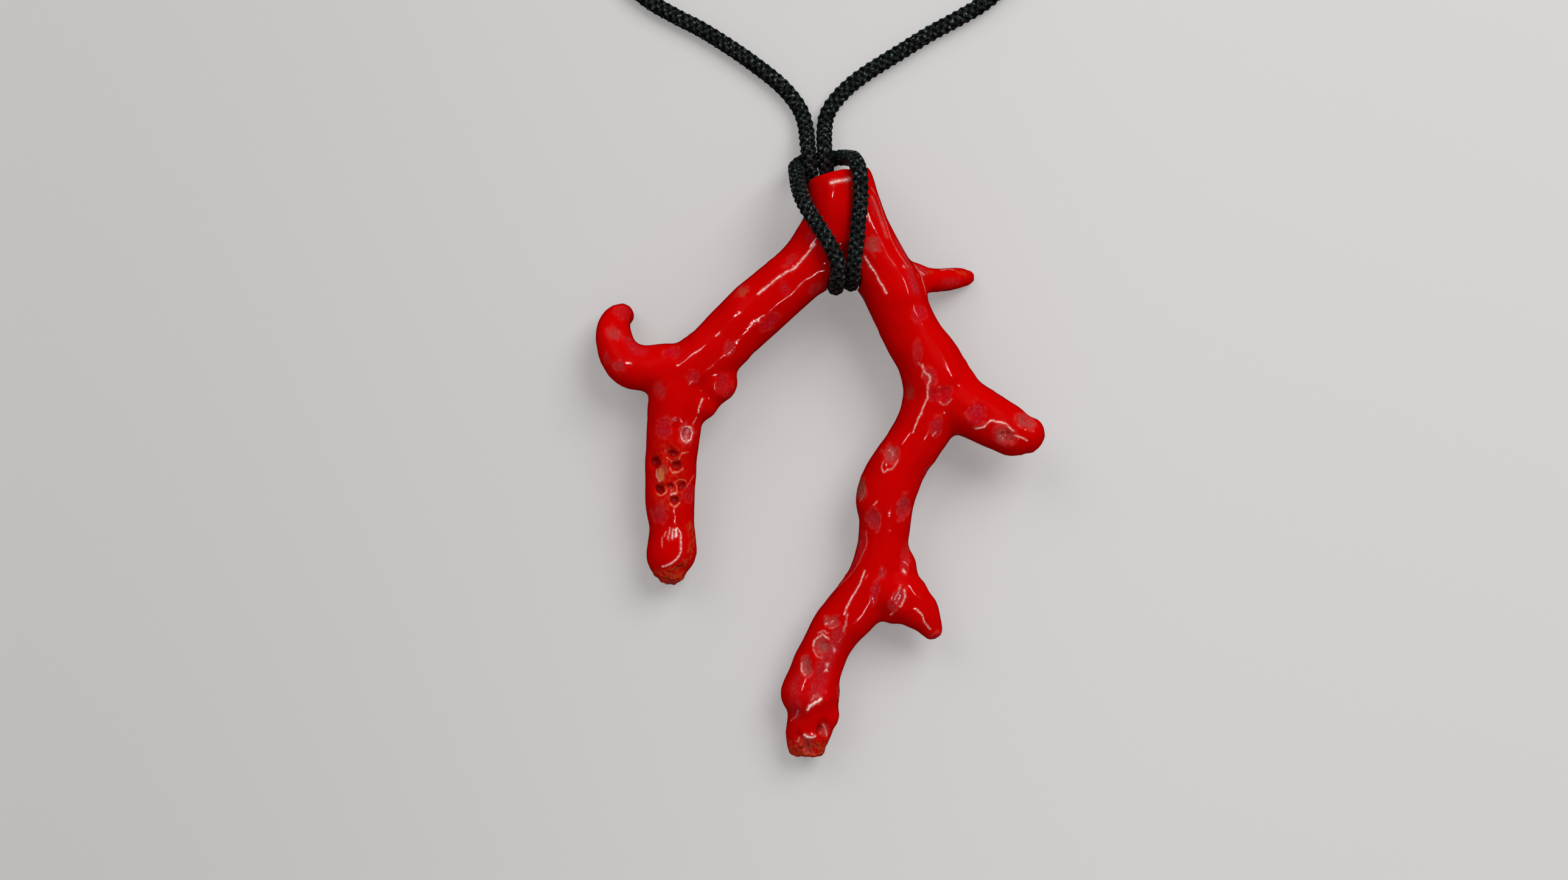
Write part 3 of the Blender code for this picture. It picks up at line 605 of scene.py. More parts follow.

# %% [markdown]
# Some marks are lines: the edge of a scar, a ridge between two worm holes, a crack in a broken end, or a
# long groove. Many of the pale lines are painted highlights, bright streaks where the polish catches the
# light, raised a little and coloured near white when they are strong. Some faint bands along the flanks are
# partly painted reflection of the pale floor. There is a table for each kind of mark. A row gives the half
# width in pixels, how far the line stands up in millimetres, how strong its colour is, and then the pixels
# that it runs through.

# %% lines read off the photograph
# Many rows are painted highlights: the strong streaks on the stem's sawn end, along the limbs, on the prong
# and at the tips paint where the polish shines.
PALE_AND_HIGHLIGHT_LINES = [
    (1.5, 0.05, 0.9, (1336, 1061), (1338, 1052), (1351, 1042), (1361, 1050)),
    (1.2, 0.03, 0.5, (1344, 1040), (1352, 1036), (1360, 1041)),
    (1.2, 0.03, 0.5, (1336, 1067), (1342, 1079), (1351, 1081)),
    (1.3, 0.03, 0.8, (1317, 1090), (1317, 1102), (1323, 1109)),
    (1.2, 0.03, 0.6, (1451, 760), (1448, 768), (1451, 776), (1466, 770), (1476, 756)),
    (1.2, 0.03, 0.5, (1543, 661), (1549, 665), (1556, 664), (1563, 656)),
    (1.4, 0.05, 0.9, (1485, 970), (1487, 980), (1482, 994), (1463, 1010)),
    (1.2, 0.03, 0.6, (1479, 962), (1476, 974), (1470, 986)),
    (2.2, 0.03, 0.9, (1483, 936), (1486, 940)),
    (1.0, 0.02, 0.7, (1435, 830), (1441, 825)),
    (1.0, 0.02, 0.5, (1422, 800), (1421, 812), (1414, 823)),
    (1.0, 0.02, 0.5, (1508, 597), (1515, 602), (1517, 610), (1514, 620)),
    (1.6, 0.02, 0.85, (1516, 600), (1519, 612), (1527, 618), (1528, 625), (1524, 634), (1524, 642)),
    (1.3, 0.02, 0.9, (1524, 642), (1523, 655), (1518, 668), (1508, 690), (1499, 710)),
    (1.3, 0.03, 0.95, (1603, 705), (1616, 701), (1627, 691), (1641, 693), (1652, 697), (1664, 707)),
    (1.2, 0.03, 0.9, (1666, 715), (1677, 719), (1688, 724)),
    (1.2, 0.02, 0.9, (1154, 655), (1150, 664), (1147, 677)),
    (1.4, 0.02, 0.6, (1143, 686), (1138, 696)),
    (3.5, 0.0, 0.5, (1127, 718), (1126, 723)),
    (2.5, 0.0, 0.5, (1131, 705), (1129, 711)),
    # This faint band and the thin line two rows on are painted reflection of the pale floor in the stem's
    # right flank.
    (3.0, 0.0, 0.2, (1433, 325), (1440, 340), (1448, 362), (1457, 388)),
    (1.5, 0.02, 1.0, (1421, 422), (1428, 434), (1438, 449), (1447, 466), (1456, 482)),
    (1.2, 0.02, 0.3, (1431, 309), (1444, 330), (1455, 365), (1465, 395), (1478, 420), (1492, 438)),
    (1.5, 0.02, 0.6, (1502, 434), (1508, 443), (1518, 451)),
    (1.2, 0.02, 0.6, (1546, 444), (1555, 442), (1566, 443)),
    (1.6, 0.02, 0.6, (1484, 437), (1486, 439)),
    (1.3, 0.03, 0.5, (1505, 440), (1514, 452), (1519, 470), (1522, 484)),
    (2.4, 0.0, 0.9, (1365, 300), (1374, 298), (1383, 297), (1395, 295)),
    (1.2, 0.02, 0.7, (1532, 716), (1537, 710)),
    # A painted reflection: the pale floor seen in the lower limb's left flank.
    (1.0, 0.02, 0.3, (1423, 872), (1424, 895), (1410, 925), (1395, 946), (1377, 965)),
    (1.4, 0.02, 0.9, (1421, 938), (1414, 955), (1405, 972), (1395, 990), (1387, 1010)),
    (1.7, 0.02, 0.9, (1246, 483), (1275, 459), (1290, 449), (1306, 441), (1318, 426), (1339, 402)),
    (1.2, 0.02, 0.7, (1392, 1010), (1389, 1025), (1386, 1038)),
    (1.3, 0.02, 0.9, (1507, 1002), (1515, 1011), (1519, 1023), (1528, 1033)),
    (1.0, 0.02, 0.5, (1311, 1168), (1306, 1178), (1299, 1184)),
    (2.3, 0.08, 1.0, (1322, 1208), (1330, 1213), (1338, 1209)),
    (2.2, 0.03, 1.0, (1348, 1148), (1345, 1152), (1340, 1154), (1335, 1158), (1330, 1160), (1327, 1166)),
    (2.0, 0.0, 0.4, (1333, 1150), (1338, 1144), (1344, 1143)),
    (1.3, 0.04, 0.7, (1313, 1213), (1311, 1218)),
    (1.2, 0.03, 0.7, (1352, 1190), (1357, 1200), (1358, 1209)),
    (1.5, 0.04, 0.9, (1102, 813), (1110, 811)),
    (1.0, 0.03, 0.7, (1078, 772), (1079, 784), (1083, 791)),
    (
        1.6, 0.10, 0.9,
        (1112, 868), (1118, 876), (1119, 890), (1118, 907), (1111, 919), (1100, 927), (1089, 931),
    ),
    (1.9, 0.04, 1.0, (1110, 870), (1111, 881)),
    (1.7, 0.04, 0.9, (1106, 870), (1105, 884)),
    (1.3, 0.03, 0.8, (1100, 868), (1098, 885)),
    (1.1, 0.03, 0.6, (1093, 874), (1092, 881)),
    (1.1, 0.02, 0.5, (1088, 883), (1087, 898)),
    (
        1.3, 0.03, 0.9,
        (1127, 700), (1134, 703), (1137, 712), (1134, 722), (1127, 728), (1121, 723), (1118, 712),
    ),
    (1.2, 0.03, 0.7, (1118, 712), (1121, 703), (1127, 700)),
]
SCAR_LINES = [
    # This band is partly a scar's haze and partly painted reflection of the pale floor in the limb's right
    # flank.
    (8.0, 0.0, 0.55, (1462, 362), (1478, 400), (1490, 428), (1497, 452), (1506, 476)),
    (6.0, 0.0, 0.6, (1510, 441), (1520, 446)),
    (5.0, 0.0, 0.4, (1552, 463), (1574, 463)),
    (10.0, -0.10, 0.6, (1376, 1043), (1366, 1065), (1356, 1088), (1347, 1116), (1339, 1140)),
    (10.0, -0.02, 0.4, (1308, 1120), (1307, 1160), (1306, 1172)),
    # This band is partly a scar's haze and partly painted reflection of the pale floor in the lower limb's
    # left flank.
    (7.0, 0.0, 0.4, (1418, 880), (1414, 905), (1392, 940), (1376, 958)),
    (8.0, 0.0, 0.5, (1034, 560), (1042, 572), (1054, 578)),
]
BROKEN_LINES = [
    (3.0, 0.0, 0.5, (1524, 449), (1530, 446)),
    (5.0, 0.0, 0.5, (1574, 446), (1586, 449)),
    (20.0, 0.0, 0.35, (1098, 748), (1102, 775), (1101, 812)),
    (7.0, 0.03, 0.9, (1134, 866), (1139, 885), (1134, 907), (1125, 925), (1105, 938), (1084, 943)),
]
NET_LINES = [
    (1.1, 0.04, 0.9, (1096, 752), (1103, 758), (1114, 756), (1121, 745), (1130, 743)),
    (1.1, 0.04, 0.9, (1101, 768), (1105, 777), (1113, 776), (1122, 770)),
    (1.1, 0.04, 0.8, (1093, 800), (1094, 808), (1086, 815), (1080, 811)),
    (1.1, 0.04, 0.8, (1111, 812), (1113, 802), (1109, 793), (1117, 788), (1127, 791)),
    (1.3, 0.04, 0.9, (1101, 827), (1108, 834), (1116, 827)),
    (1.1, 0.03, 0.7, (1129, 800), (1135, 790), (1140, 780)),
]
DARK_LINES = [
    (1.5, -0.10, 0.5, (1326, 1216), (1328, 1226), (1331, 1236)),
    (1.2, -0.08, 0.4, (1322, 1218), (1319, 1226), (1314, 1232)),
    (1.2, -0.08, 0.4, (1329, 1215), (1337, 1220), (1345, 1228)),
    (1.0, -0.05, 0.25, (1004, 515), (1018, 533), (1032, 558)),
]
LINES = {"pale": PALE_AND_HIGHLIGHT_LINES, "scar": SCAR_LINES, "broken": BROKEN_LINES}
LINES |= {"net": NET_LINES, "dark": DARK_LINES}
print("scars:", len(SCARS), "bores:", len(BORES), "lines:", sum(map(len, LINES.values())))

# %% [markdown]
# A ray is sent from the camera through each pixel, and where it meets the skin, the mark belongs. An oval
# mark also gets two vectors, so that the distance from its middle, counted along them, is 1 at its edge.

# %% the marks on the skin
ACROSS, UP = np.array([1.0, 0.0, 0.0]), np.array([0.0, 1.0, 0.0])


def seen_place(across, down):
    """Where the line from the camera through a pixel meets the coral, and the skin's direction there."""
    way = (photo_place(across, down) - CAMERA_PLACE).normalized()
    hit, place, normal, _ = coral.ray_cast(CAMERA_PLACE * MM, way)
    return (np.array(place) / MM, np.array(normal)) if hit else None


def turned_axes(first, second, turn, half_width, half_height):
    """Two vectors that count 1 at the edge of an oval, which is turned from first towards second."""
    u = math.cos(turn) * first + math.sin(turn) * second
    v = -math.sin(turn) * first + math.cos(turn) * second
    return u / half_width, v / half_height


features = []
for kind, rows in (("scar", SCARS), ("bore", [(*row, 0.0) for row in BORES])):
    for across, down, half_width, half_height, turn, strength, tint in rows:
        found = seen_place(across, down)
        if found is None:
            print("no coral under the", kind, "at", across, down)
            continue
        half_width, half_height = half_width * PIXEL, half_height * PIXEL
        axes = turned_axes(ACROSS, UP, math.radians(turn), half_width, half_height)
        features.append((kind, *found, *axes, max(half_width, half_height), strength, tint))
paths = []
for kind, rows in LINES.items():
    for half_width, height, strength, *pixels in rows:
        found = [seen_place(*pixel) for pixel in pixels]
        path = np.array([place[0] for place in found if place is not None])
        paths.append((kind, half_width * PIXEL, height, strength, path))
print("marks found:", len(features), "lines found:", len(paths))

# %% [markdown]
# The sides and the underside, which the photograph doesn't show, have scars too. They are scattered there
# with an even spacing: a place is picked at random and kept if no scar is near it. The random numbers start
# from the same seed each time, so every run gives the same branch.

# %% scars on the hidden sides
HIDDEN_SEED = 11
HIDDEN_SPACING = 3.6
HIDDEN_TRIES = 2500
HIDDEN_HALF_WIDTH, HIDDEN_HALF_HEIGHT = (0.6, 0.85), (0.8, 1.25)
HIDDEN_CLARITY, HIDDEN_TINT = (0.4, 0.9), (0.1, 0.7)
FACES_UP, TINY = 0.2, 1e-6
KNOT_FROM, KNOT_LEFT, KNOT_RIGHT = 20, -5, 6.5


def skin_points():
    count = len(coral.data.vertices)
    place, normal = np.empty(count * 3), np.empty(count * 3)
    coral.data.vertices.foreach_get("co", place)
    coral.data.vertices.foreach_get("normal", normal)
    return place.reshape(-1, 3) / MM, normal.reshape(-1, 3)


seen_count = len(features)
places, normals = skin_points()
chance = np.random.default_rng(HIDDEN_SEED)
for pick in chance.integers(0, len(places), HIDDEN_TRIES):
    place, normal = places[pick], normals[pick]
    near = [np.linalg.norm(place - other[1]) for other in features]
    held_by_cord = place[1] > KNOT_FROM and KNOT_LEFT < place[0] < KNOT_RIGHT
    if normal[2] > FACES_UP or min(near) < HIDDEN_SPACING or held_by_cord:
        continue
    half_width, half_height = chance.uniform(*HIDDEN_HALF_WIDTH), chance.uniform(*HIDDEN_HALF_HEIGHT)
    level = np.array([-normal[1], normal[0], 0.0]) + TINY
    level /= np.linalg.norm(level)
    turn = chance.uniform(0, math.tau)
    axes = turned_axes(level, np.cross(normal, level), turn, half_width, half_height)
    clarity, tint = chance.uniform(*HIDDEN_CLARITY), chance.uniform(*HIDDEN_TINT)
    features.append(("scar", place, normal, *axes, half_height, clarity, tint))
print("scars and bores seen:", seen_count, "hidden:", len(features) - seen_count)

# %% [markdown]
# A scar needs finer squares than the smooth skin does, and a thin line needs finer ones still. So the faces
# near each mark are picked by the distance of their middles and divided, and those near a thin line are
# divided once more. A pair of smoothing steps then rounds the new squares.

# %% finer squares where there is detail
BROKEN_ENDS = [((-18.0, -13.0, 3.4), 4.0), ((-1.4, -33.6, 2.8), 5.0)]
THIN_LINE = 3.0 * PIXEL
ROUND_MARK, BESIDE_MARK, BESIDE_LINE = 1.05, 0.1, 0.18
DETAIL_STEPS = 3


def distance_to_path(points, path):
    """How far each point is from a line through the path's points."""
    best = np.full(len(points), np.inf)
    for a, b in zip(path, path[1:]):
        along = np.clip((points - a) @ (b - a) / ((b - a) @ (b - a)), 0, 1)
        best = np.minimum(best, lengths(points - a - along[:, None] * (b - a)))
    return best


def near_marks(middles):
    near = near_lines(middles)
    spots = [(place, reach * ROUND_MARK + BESIDE_MARK) for _, place, _, _, _, reach, _, _ in features]
    for place, reach in spots + BROKEN_ENDS:
        near |= lengths(middles - np.array(place)) < reach
    return near


def near_lines(middles):
    near = np.zeros(len(middles), bool)
    for _, half_width, _, _, path in paths:
        if half_width < THIN_LINE:
            near |= distance_to_path(middles, path) < half_width + BESIDE_LINE
    return near


def divide_faces(near):
    """Divide the faces whose middles the function picks, and say how many there were."""
    middles = np.empty(len(coral.data.polygons) * 3)
    coral.data.polygons.foreach_get("center", middles)
    chosen = near(middles.reshape(-1, 3) / MM)
    take_up(coral)
    bpy.ops.object.mode_set(mode="EDIT")
    bpy.ops.mesh.select_mode(type="FACE")
    bpy.ops.mesh.select_all(action="DESELECT")
    bpy.ops.object.mode_set(mode="OBJECT")
    coral.data.polygons.foreach_set("select", chosen)
    bpy.ops.object.mode_set(mode="EDIT")
    bpy.ops.mesh.subdivide(number_cuts=1, smoothness=0)
    bpy.ops.object.mode_set(mode="OBJECT")
    return int(chosen.sum())


for near in (near_marks, near_lines):
    print("faces divided:", divide_faces(near), "triangles:", triangles(coral))
smooth_in_pairs(coral, 1, DETAIL_STEPS)

# %% [markdown]
# ## The fork fits the cord
#
# The cord has been pulled tight in the fork for years, and no light comes through between the two. A point
# of the skin that is nearly as close to the cord's middle line as the seat is goes to the braid's own edge,
# and points further out follow it less and less.

# %% the fork fits the cord
BRAID_EDGE, SEAT, UNMOVED = 1.08, 1.45, 2.2
FORK_TOP, FORK_BOTTOM, FORK_FADE = 24.5, 18, 1.5
FORK_MIDDLE, FORK_HALF_WIDTH = 2.8, 4
knot_points = cord_line[:knot_end]
knot_finder = KDTree(len(knot_points))
for index, place in enumerate(knot_points):
    knot_finder.insert(place, index)
knot_finder.balance()


def fit_to_cord(points):
    """Draw the points in the fork, in millimetres, to the edge of the cord."""
    x, y = points[:, 0], points[:, 1]
    in_fork = (y < FORK_TOP) & (y > FORK_BOTTOM) & (abs(x - FORK_MIDDLE) < FORK_HALF_WIDTH)
    for index in np.flatnonzero(in_fork):
        middle, _, away = knot_finder.find(points[index])
        if away < UNMOVED:
            wanted = BRAID_EDGE + (UNMOVED - BRAID_EDGE) * max(0.0, (away - SEAT) / (UNMOVED - SEAT))
            held = min(1.0, (FORK_TOP - points[index, 1]) / FORK_FADE)
            scale = 1 + (wanted / away - 1) * held
            points[index] = np.array(middle) + (points[index] - np.array(middle)) * scale


print("cord points in the knot:", len(knot_points))

# %% [markdown]
# ## Carving
#
# Now the skin is carved, one kind of mark at a time, by moving its points along their own direction. Each
# kind also leaves a number on every point, such as how much of a scar is there, and the finish reads these
# numbers later, so the colour always sits exactly on the shape.

# %% ripples
RIPPLES = [(4.3, 0.10), (1.9, 0.035), (0.9, 0.008)]
MARKS = ("scar", "rim", "bore", "dark", "net", "pale", "broken", "tint")
places, normals = skin_points()
marks = {name: np.zeros(len(places)) for name in MARKS}
lift = np.zeros(len(places))


def noise_at(points, size, offset=0.0):
    """Smooth noise between about -1 and 1, whose lumps are the given size across."""
    shift = Vector((offset, offset * 1.7, -offset))
    return np.array([noise.noise(Vector(point) / size + shift) for point in points])


def leave(name, where, share):
    """Leave a mark on the points, unless a stronger one of its kind is there."""
    marks[name][where] = np.maximum(marks[name][where], share)


for size, amount in RIPPLES:
    lift += amount * noise_at(places, size, size)
print("points:", len(places), "ripples up to", round(lift.max(), 2), "mm")

# %% [markdown]
# A scar is a shallow dish with a soft rim, and noise makes its edge uneven. A worm hole is cut down to its
# own depth, whatever was carved there before.

# %% scars and worm holes
MARK_REACH, SAME_SIDE = 1.9, 0.1
RAGGED, RAGGED_SIZE = 0.3, 0.7
DISH_DEPTH, DISH_FLATNESS, SCAR_EDGE = 0.08, 0.7, 0.25
RIM_HEIGHT, RIM_PLACE, RIM_WIDTH = 0.02, 1.08, 0.16
HOLE_WIDTH, HOLE_SLOPE, HOLE_DARKNESS = 1.05, 0.5, 3.3
for kind, place, normal, u, v, reach, strength, tint in features:
    offset = places - place
    near = lengths(offset) < reach * MARK_REACH
    close = np.flatnonzero(near & (normals @ normal > SAME_SIDE))
    away = np.hypot(offset[close] @ u, offset[close] @ v)
    away *= 1 + RAGGED * noise_at(places[close], reach * RAGGED_SIZE, tint * 9 + 1)
    if kind == "scar":
        dish = np.clip(1 - away**2, 0, 1) ** DISH_FLATNESS
        rim = np.exp(-(((away - RIM_PLACE) / RIM_WIDTH) ** 2))
        lift[close] += strength * (RIM_HEIGHT * rim - DISH_DEPTH * dish)
        share = np.clip((1.0 - away) / SCAR_EDGE, 0, 1) * strength
        marks["tint"][close[share > marks["scar"][close]]] = tint
        leave("scar", close, share)
        leave("rim", close, rim * strength)
    else:
        hole = np.clip((HOLE_WIDTH - away) / HOLE_SLOPE, 0, 1)
        deeper = np.minimum(lift[close], -strength * hole)
        lift[close] = np.where(hole > 0, deeper, lift[close])
        # The hole's share sets both its painted shade and its duller polish.
        leave("bore", close, hole * min(1, strength * HOLE_DARKNESS))
print("points in scars:", np.count_nonzero(marks["scar"]))

# %% [markdown]
# A line is a low ridge or a groove. Its distance is measured from points that are shifted by a little noise,
# so the line wavers as a grown one does.

# %% carved lines
WAVER, WAVER_SIZE, WAVER_SHIFTS = 0.1, 0.7, (1.0, 5.0, 9.0)
LINE_REACH, LINE_FULLNESS, LINE_TINT = 2.5, 1.6, 0.35
wavering = places + WAVER * np.stack([noise_at(places, WAVER_SIZE, s) for s in WAVER_SHIFTS], axis=1)
for kind, half_width, height, strength, path in paths:
    distance = distance_to_path(wavering, path)
    close = np.flatnonzero(distance < half_width * LINE_REACH)
    share = np.exp(-((distance[close] / half_width) ** 2))
    lift[close] += height * share
    share = np.clip(share * LINE_FULLNESS, 0, 1) * strength
    if kind == "scar":
        marks["tint"][close[share > marks["scar"][close]]] = LINE_TINT
    leave(kind, close, share)
print("points in pale lines:", np.count_nonzero(marks["pale"]))

# %% [markdown]
# Two twigs have broken off, and their ends were left rough. Two sizes of noise make the crags, which fade
# out towards the polished side.

# %% broken ends
BROKEN_FADE, BROKEN_TOP, BROKEN_TOP_FADE = 1.5, 0.4, 1.0
CRAGS = [(0.14, 1.0, 4.0), (0.06, 0.5, 2.0)]
for place, reach in BROKEN_ENDS:
    distance = lengths(places - np.array(place))
    close = np.flatnonzero(distance < reach)
    share = np.clip((reach - distance[close]) / BROKEN_FADE, 0, 1)
    share *= np.clip((place[1] + BROKEN_TOP - places[close][:, 1]) / BROKEN_TOP_FADE, 0, 1)
    for height, size, shift in CRAGS:
        lift[close] += height * noise_at(places[close], size, shift) * share
    leave("broken", close, share)
print("points in broken ends:", np.count_nonzero(marks["broken"]))

# %% [markdown]
# Now every point is moved. The fork is fitted to the cord last, and nothing goes below the floor.

# %% the carved skin
moved = places + normals * lift[:, None]
fit_to_cord(moved)
moved[:, 2] = np.maximum(moved[:, 2], 0.0)
coral.data.vertices.foreach_set("co", (moved * MM).ravel())
for name, values in marks.items():
    coral.data.attributes.new(name, "FLOAT", "POINT").data.foreach_set("value", values.astype(np.float32))
coral.data.update()
print("carved from", round(lift.min(), 2), "to", round(lift.max(), 2), "mm")

# %% [markdown]
# The skin stands for all ten parts of the coral.

# %% the coral joins the branch
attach(coral, "root")
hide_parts(*(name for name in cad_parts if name.startswith("coral")))
print("coral, mm:", [round(v / MM, 1) for v in coral.dimensions])

# %% [markdown]
# ## Finishes
#
# A finish is a small network of nodes. Each helper below adds one node, and sets or links its sockets.


# %% helpers for finishes
class Finish:
    """A material, and short ways to add nodes to it."""

    def __init__(self, name):
        self.material = bpy.data.materials.new(name)
        self.material.use_nodes = True
        self.tree = self.material.node_tree
        self.shader = self.tree.nodes["Principled BSDF"]

    def node(self, kind, settings=None, **sockets):
        made = self.tree.nodes.new(kind)
        for key, value in (settings or {}).items():
            setattr(made, key, value)
        self.fill(made, sockets)
        return made

    def fill(self, node, sockets):
        """Set or link each socket, by its name with an underscore for each space."""
        for key, value in sockets.items():
            self.put(node.inputs[key.replace("_", " ")], value)

    def put(self, socket, value):
        if isinstance(value, bpy.types.NodeSocket):
            self.tree.links.new(value, socket)
        else:
            socket.default_value = value

    def mark(self, name):
        """A number that carving left on the points."""
        return self.node("ShaderNodeAttribute", {"attribute_name": name}).outputs["Fac"]

    def place(self):
        return self.node("ShaderNodeTexCoord").outputs["Object"]

    def noise(self, size, detail=2.0):
        """Noise with lumps of the given size in millimetres."""
        sockets = {"Vector": self.place(), "Scale": 1 / (size * MM), "Detail": detail}
        return self.node("ShaderNodeTexNoise", **sockets).outputs["Fac"]

    def ramp(self, factor, low, high, low_value=0.0, high_value=1.0):
        """The factor, stretched so that low gives low_value and high gives high_value."""
        sockets = {"From_Min": low, "From_Max": high, "To_Min": low_value, "To_Max": high_value}
        smooth = {"interpolation_type": "SMOOTHSTEP"}
        return self.node("ShaderNodeMapRange", smooth, Value=factor, **sockets).outputs["Result"]

    def calculate(self, operation, *values):
        made = self.node("ShaderNodeMath", {"operation": operation})
        for socket, value in zip(made.inputs, values):
            self.put(socket, value)
        return made.outputs["Value"]

    def times(self, first, second):
        return self.calculate("MULTIPLY", first, second)

    def plus(self, first, second):
        return self.calculate("ADD", first, second)

    def blend(self, factor, first, second):
        """A colour between two."""
        made = self.node("ShaderNodeMix", {"data_type": "RGBA"})
        self.put(made.inputs[0], factor)
        self.put(made.inputs[6], first)
        self.put(made.inputs[7], second)
        return made.outputs[2]

    def colours(self, factor, *stops):
        """A colour ramp through the given places and colours."""
        made = self.node("ShaderNodeValToRGB", None, Fac=factor)
        ramp = made.color_ramp
        while len(ramp.elements) < len(stops):
            ramp.elements.new(1.0)
        for element, (place, colour) in zip(ramp.elements, stops):
            element.position = place
            element.color = colour
        return made.outputs["Color"]

    def bump(self, height, depth, normal=None):
        """Shading relief. The depth is in millimetres."""
        made = self.node("ShaderNodeBump", None, Height=height, Strength=1.0, Distance=depth * MM)
        if normal is not None:
            self.put(made.inputs["Normal"], normal)
        return made.outputs["Normal"]

    def set(self, **sockets):
        self.fill(self.shader, sockets)

    def put_on(self, *objects):
        for obj in objects:
            obj.data.materials.clear()
            obj.data.materials.append(self.material)


print("finish helpers ready")

# %% [markdown]
# ### Polished red coral
#
# The stone is one strong red, a little deeper in some bands. The scars are a haze over it, with the red
# showing through in small patches. The worm holes are painted darker inside, as painted shade, and have thin
# pale ridges between them. The broken ends are rough and orange brown. All three kinds of mark also dull the
# polish. Pale lines lie on top, and the strong ones are painted highlights in a near-white colour.

# %% polished red coral
RED = (0.42, 0.0, 0.0, 1.0)
DEEP_RED = (0.35, 0.0, 0.0, 1.0)
PURPLE = (0.30, 0.004, 0.018, 1.0)
MAUVE = (0.30, 0.012, 0.018, 1.0)
GREY = (0.28, 0.038, 0.034, 1.0)
OLIVE = (0.21, 0.03, 0.018, 1.0)
YELLOW = (0.38, 0.13, 0.04, 1.0)
PALE = (0.55, 0.22, 0.20, 1.0)
HOLE_SHADE_RED = (0.25, 0.0, 0.0, 1.0)
CRACK_RED = (0.07, 0.006, 0.002, 1.0)
NET_PINK = (0.50, 0.12, 0.07, 1.0)
PAINTED_HIGHLIGHT = (0.80, 0.52, 0.48, 1.0)
BROKEN_ORANGE = (0.35, 0.037, 0.009, 1.0)
BROKEN_RED = (0.34, 0.0, 0.0, 1.0)
HAZE_TINTS = [(0.1, PURPLE), (0.35, MAUVE), (0.6, GREY), (0.8, OLIVE), (1.0, YELLOW)]
BANDS_SHOWN, BROKEN_SHOWN, FLECKS_SHOWN, RIM_SHOWN, NET_SHOWN = 0.5, 0.8, 0.1, 0.12, 0.3
SCAR_WEAR, BROKEN_WEAR, HOLE_WEAR = 0.22, 0.24, 0.2
POLISHED, DULL = 0.08, 0.7
SLOW_RELIEF, RAGGED_RELIEF, GRAIN_RELIEF = 0.02, 0.008, 0.04

polish = Finish("polished red coral")
bands = polish.ramp(polish.noise(6.0), 0.45, 0.75)
stone_and_painted_light = polish.blend(polish.times(bands, BANDS_SHOWN), RED, DEEP_RED)
crust = polish.blend(polish.ramp(polish.noise(0.5, 3.0), 0.4, 0.6), BROKEN_RED, BROKEN_ORANGE)
stone_and_painted_light = polish.blend(polish.times(polish.mark("broken"), BROKEN_SHOWN), stone_and_painted_light, crust)
haze = polish.colours(polish.mark("tint"), *HAZE_TINTS)
flecks = polish.ramp(polish.noise(0.3, 1.0), 0.5, 0.65)
haze = polish.blend(polish.times(flecks, FLECKS_SHOWN), haze, PALE)
cover = polish.ramp(polish.noise(0.9, 1.5), 0.35, 0.6, 0.5, 1.0)
stone_and_painted_light = polish.blend(polish.times(polish.mark("scar"), cover), stone_and_painted_light, haze)
patchy = polish.ramp(polish.noise(0.7), 0.35, 0.65)
stone_and_painted_light = polish.blend(polish.times(polish.times(polish.mark("rim"), patchy), RIM_SHOWN), stone_and_painted_light, PALE)
stone_and_painted_light = polish.blend(polish.times(polish.mark("net"), polish.plus(patchy, NET_SHOWN)), stone_and_painted_light, NET_PINK)
# Worm holes: their darker red inside is painted shade, and the same mark dulls the polish below.
stone_and_painted_light = polish.blend(polish.mark("bore"), stone_and_painted_light, HOLE_SHADE_RED)
stone_and_painted_light = polish.blend(polish.mark("dark"), stone_and_painted_light, CRACK_RED)
# Pale lines: the strongest turn to the near-white painted highlight colour, so bright streaks of the polish
# are painted here as well as lit by the strips.
ragged_lines = polish.ramp(polish.noise(0.25, 1.0), 0.35, 0.55, 0.3, 1.0)
pale_and_highlight_colour = polish.blend(polish.ramp(polish.mark("pale"), 0.75, 1.0), PALE, PAINTED_HIGHLIGHT)
stone_and_painted_light = polish.blend(polish.times(polish.mark("pale"), ragged_lines), stone_and_painted_light, pale_and_highlight_colour)
worn_scars = polish.times(polish.mark("scar"), SCAR_WEAR)
worn = polish.plus(worn_scars, polish.times(polish.mark("broken"), BROKEN_WEAR))
worn = polish.plus(worn, polish.times(polish.mark("bore"), HOLE_WEAR))
gloss = polish.ramp(worn, 0.0, 1.0, POLISHED, DULL)
slow = polish.bump(polish.noise(1.1), SLOW_RELIEF)
ragged = polish.bump(polish.noise(0.35), RAGGED_RELIEF, normal=slow)
grain = polish.bump(polish.times(polish.noise(0.22), worn), GRAIN_RELIEF, normal=ragged)
polish.set(Base_Color=stone_and_painted_light, Roughness=gloss, Normal=grain, IOR=1.45)
polish.set(Subsurface_Weight=0.08, Subsurface_Scale=0.4 * MM, Subsurface_Radius=(1.0, 0.15, 0.1))
polish.put_on(coral)
print("polished")

# %% [markdown]
# ### Black braid
#
# The cord is black nylon, a little green in the light. Each strand is a flat bundle of fine threads that run
# along it. The UV map counts strands, so the sum of its two numbers runs across the strands of one family
# and their difference across those of the other, and a fine wave of that number makes the threads. The
# grooves between strands are painted near black, as painted shade, and small grey flecks on the raised
# strands are painted glints.

# %% black braid
GROOVE_SHADE_BLACK = (0.0005, 0.0007, 0.0007, 1.0)
BLACK = (0.003, 0.0045, 0.0045, 1.0)
WORN_BLACK = (0.016, 0.02, 0.019, 1.0)
PAINTED_GLINT_GREY = (0.085, 0.105, 0.105, 1.0)
THREADS, THREAD_HEIGHT = 7.0, 0.5
BRAID_RELIEF = 0.02
FAMILY_BLUR = 0.2

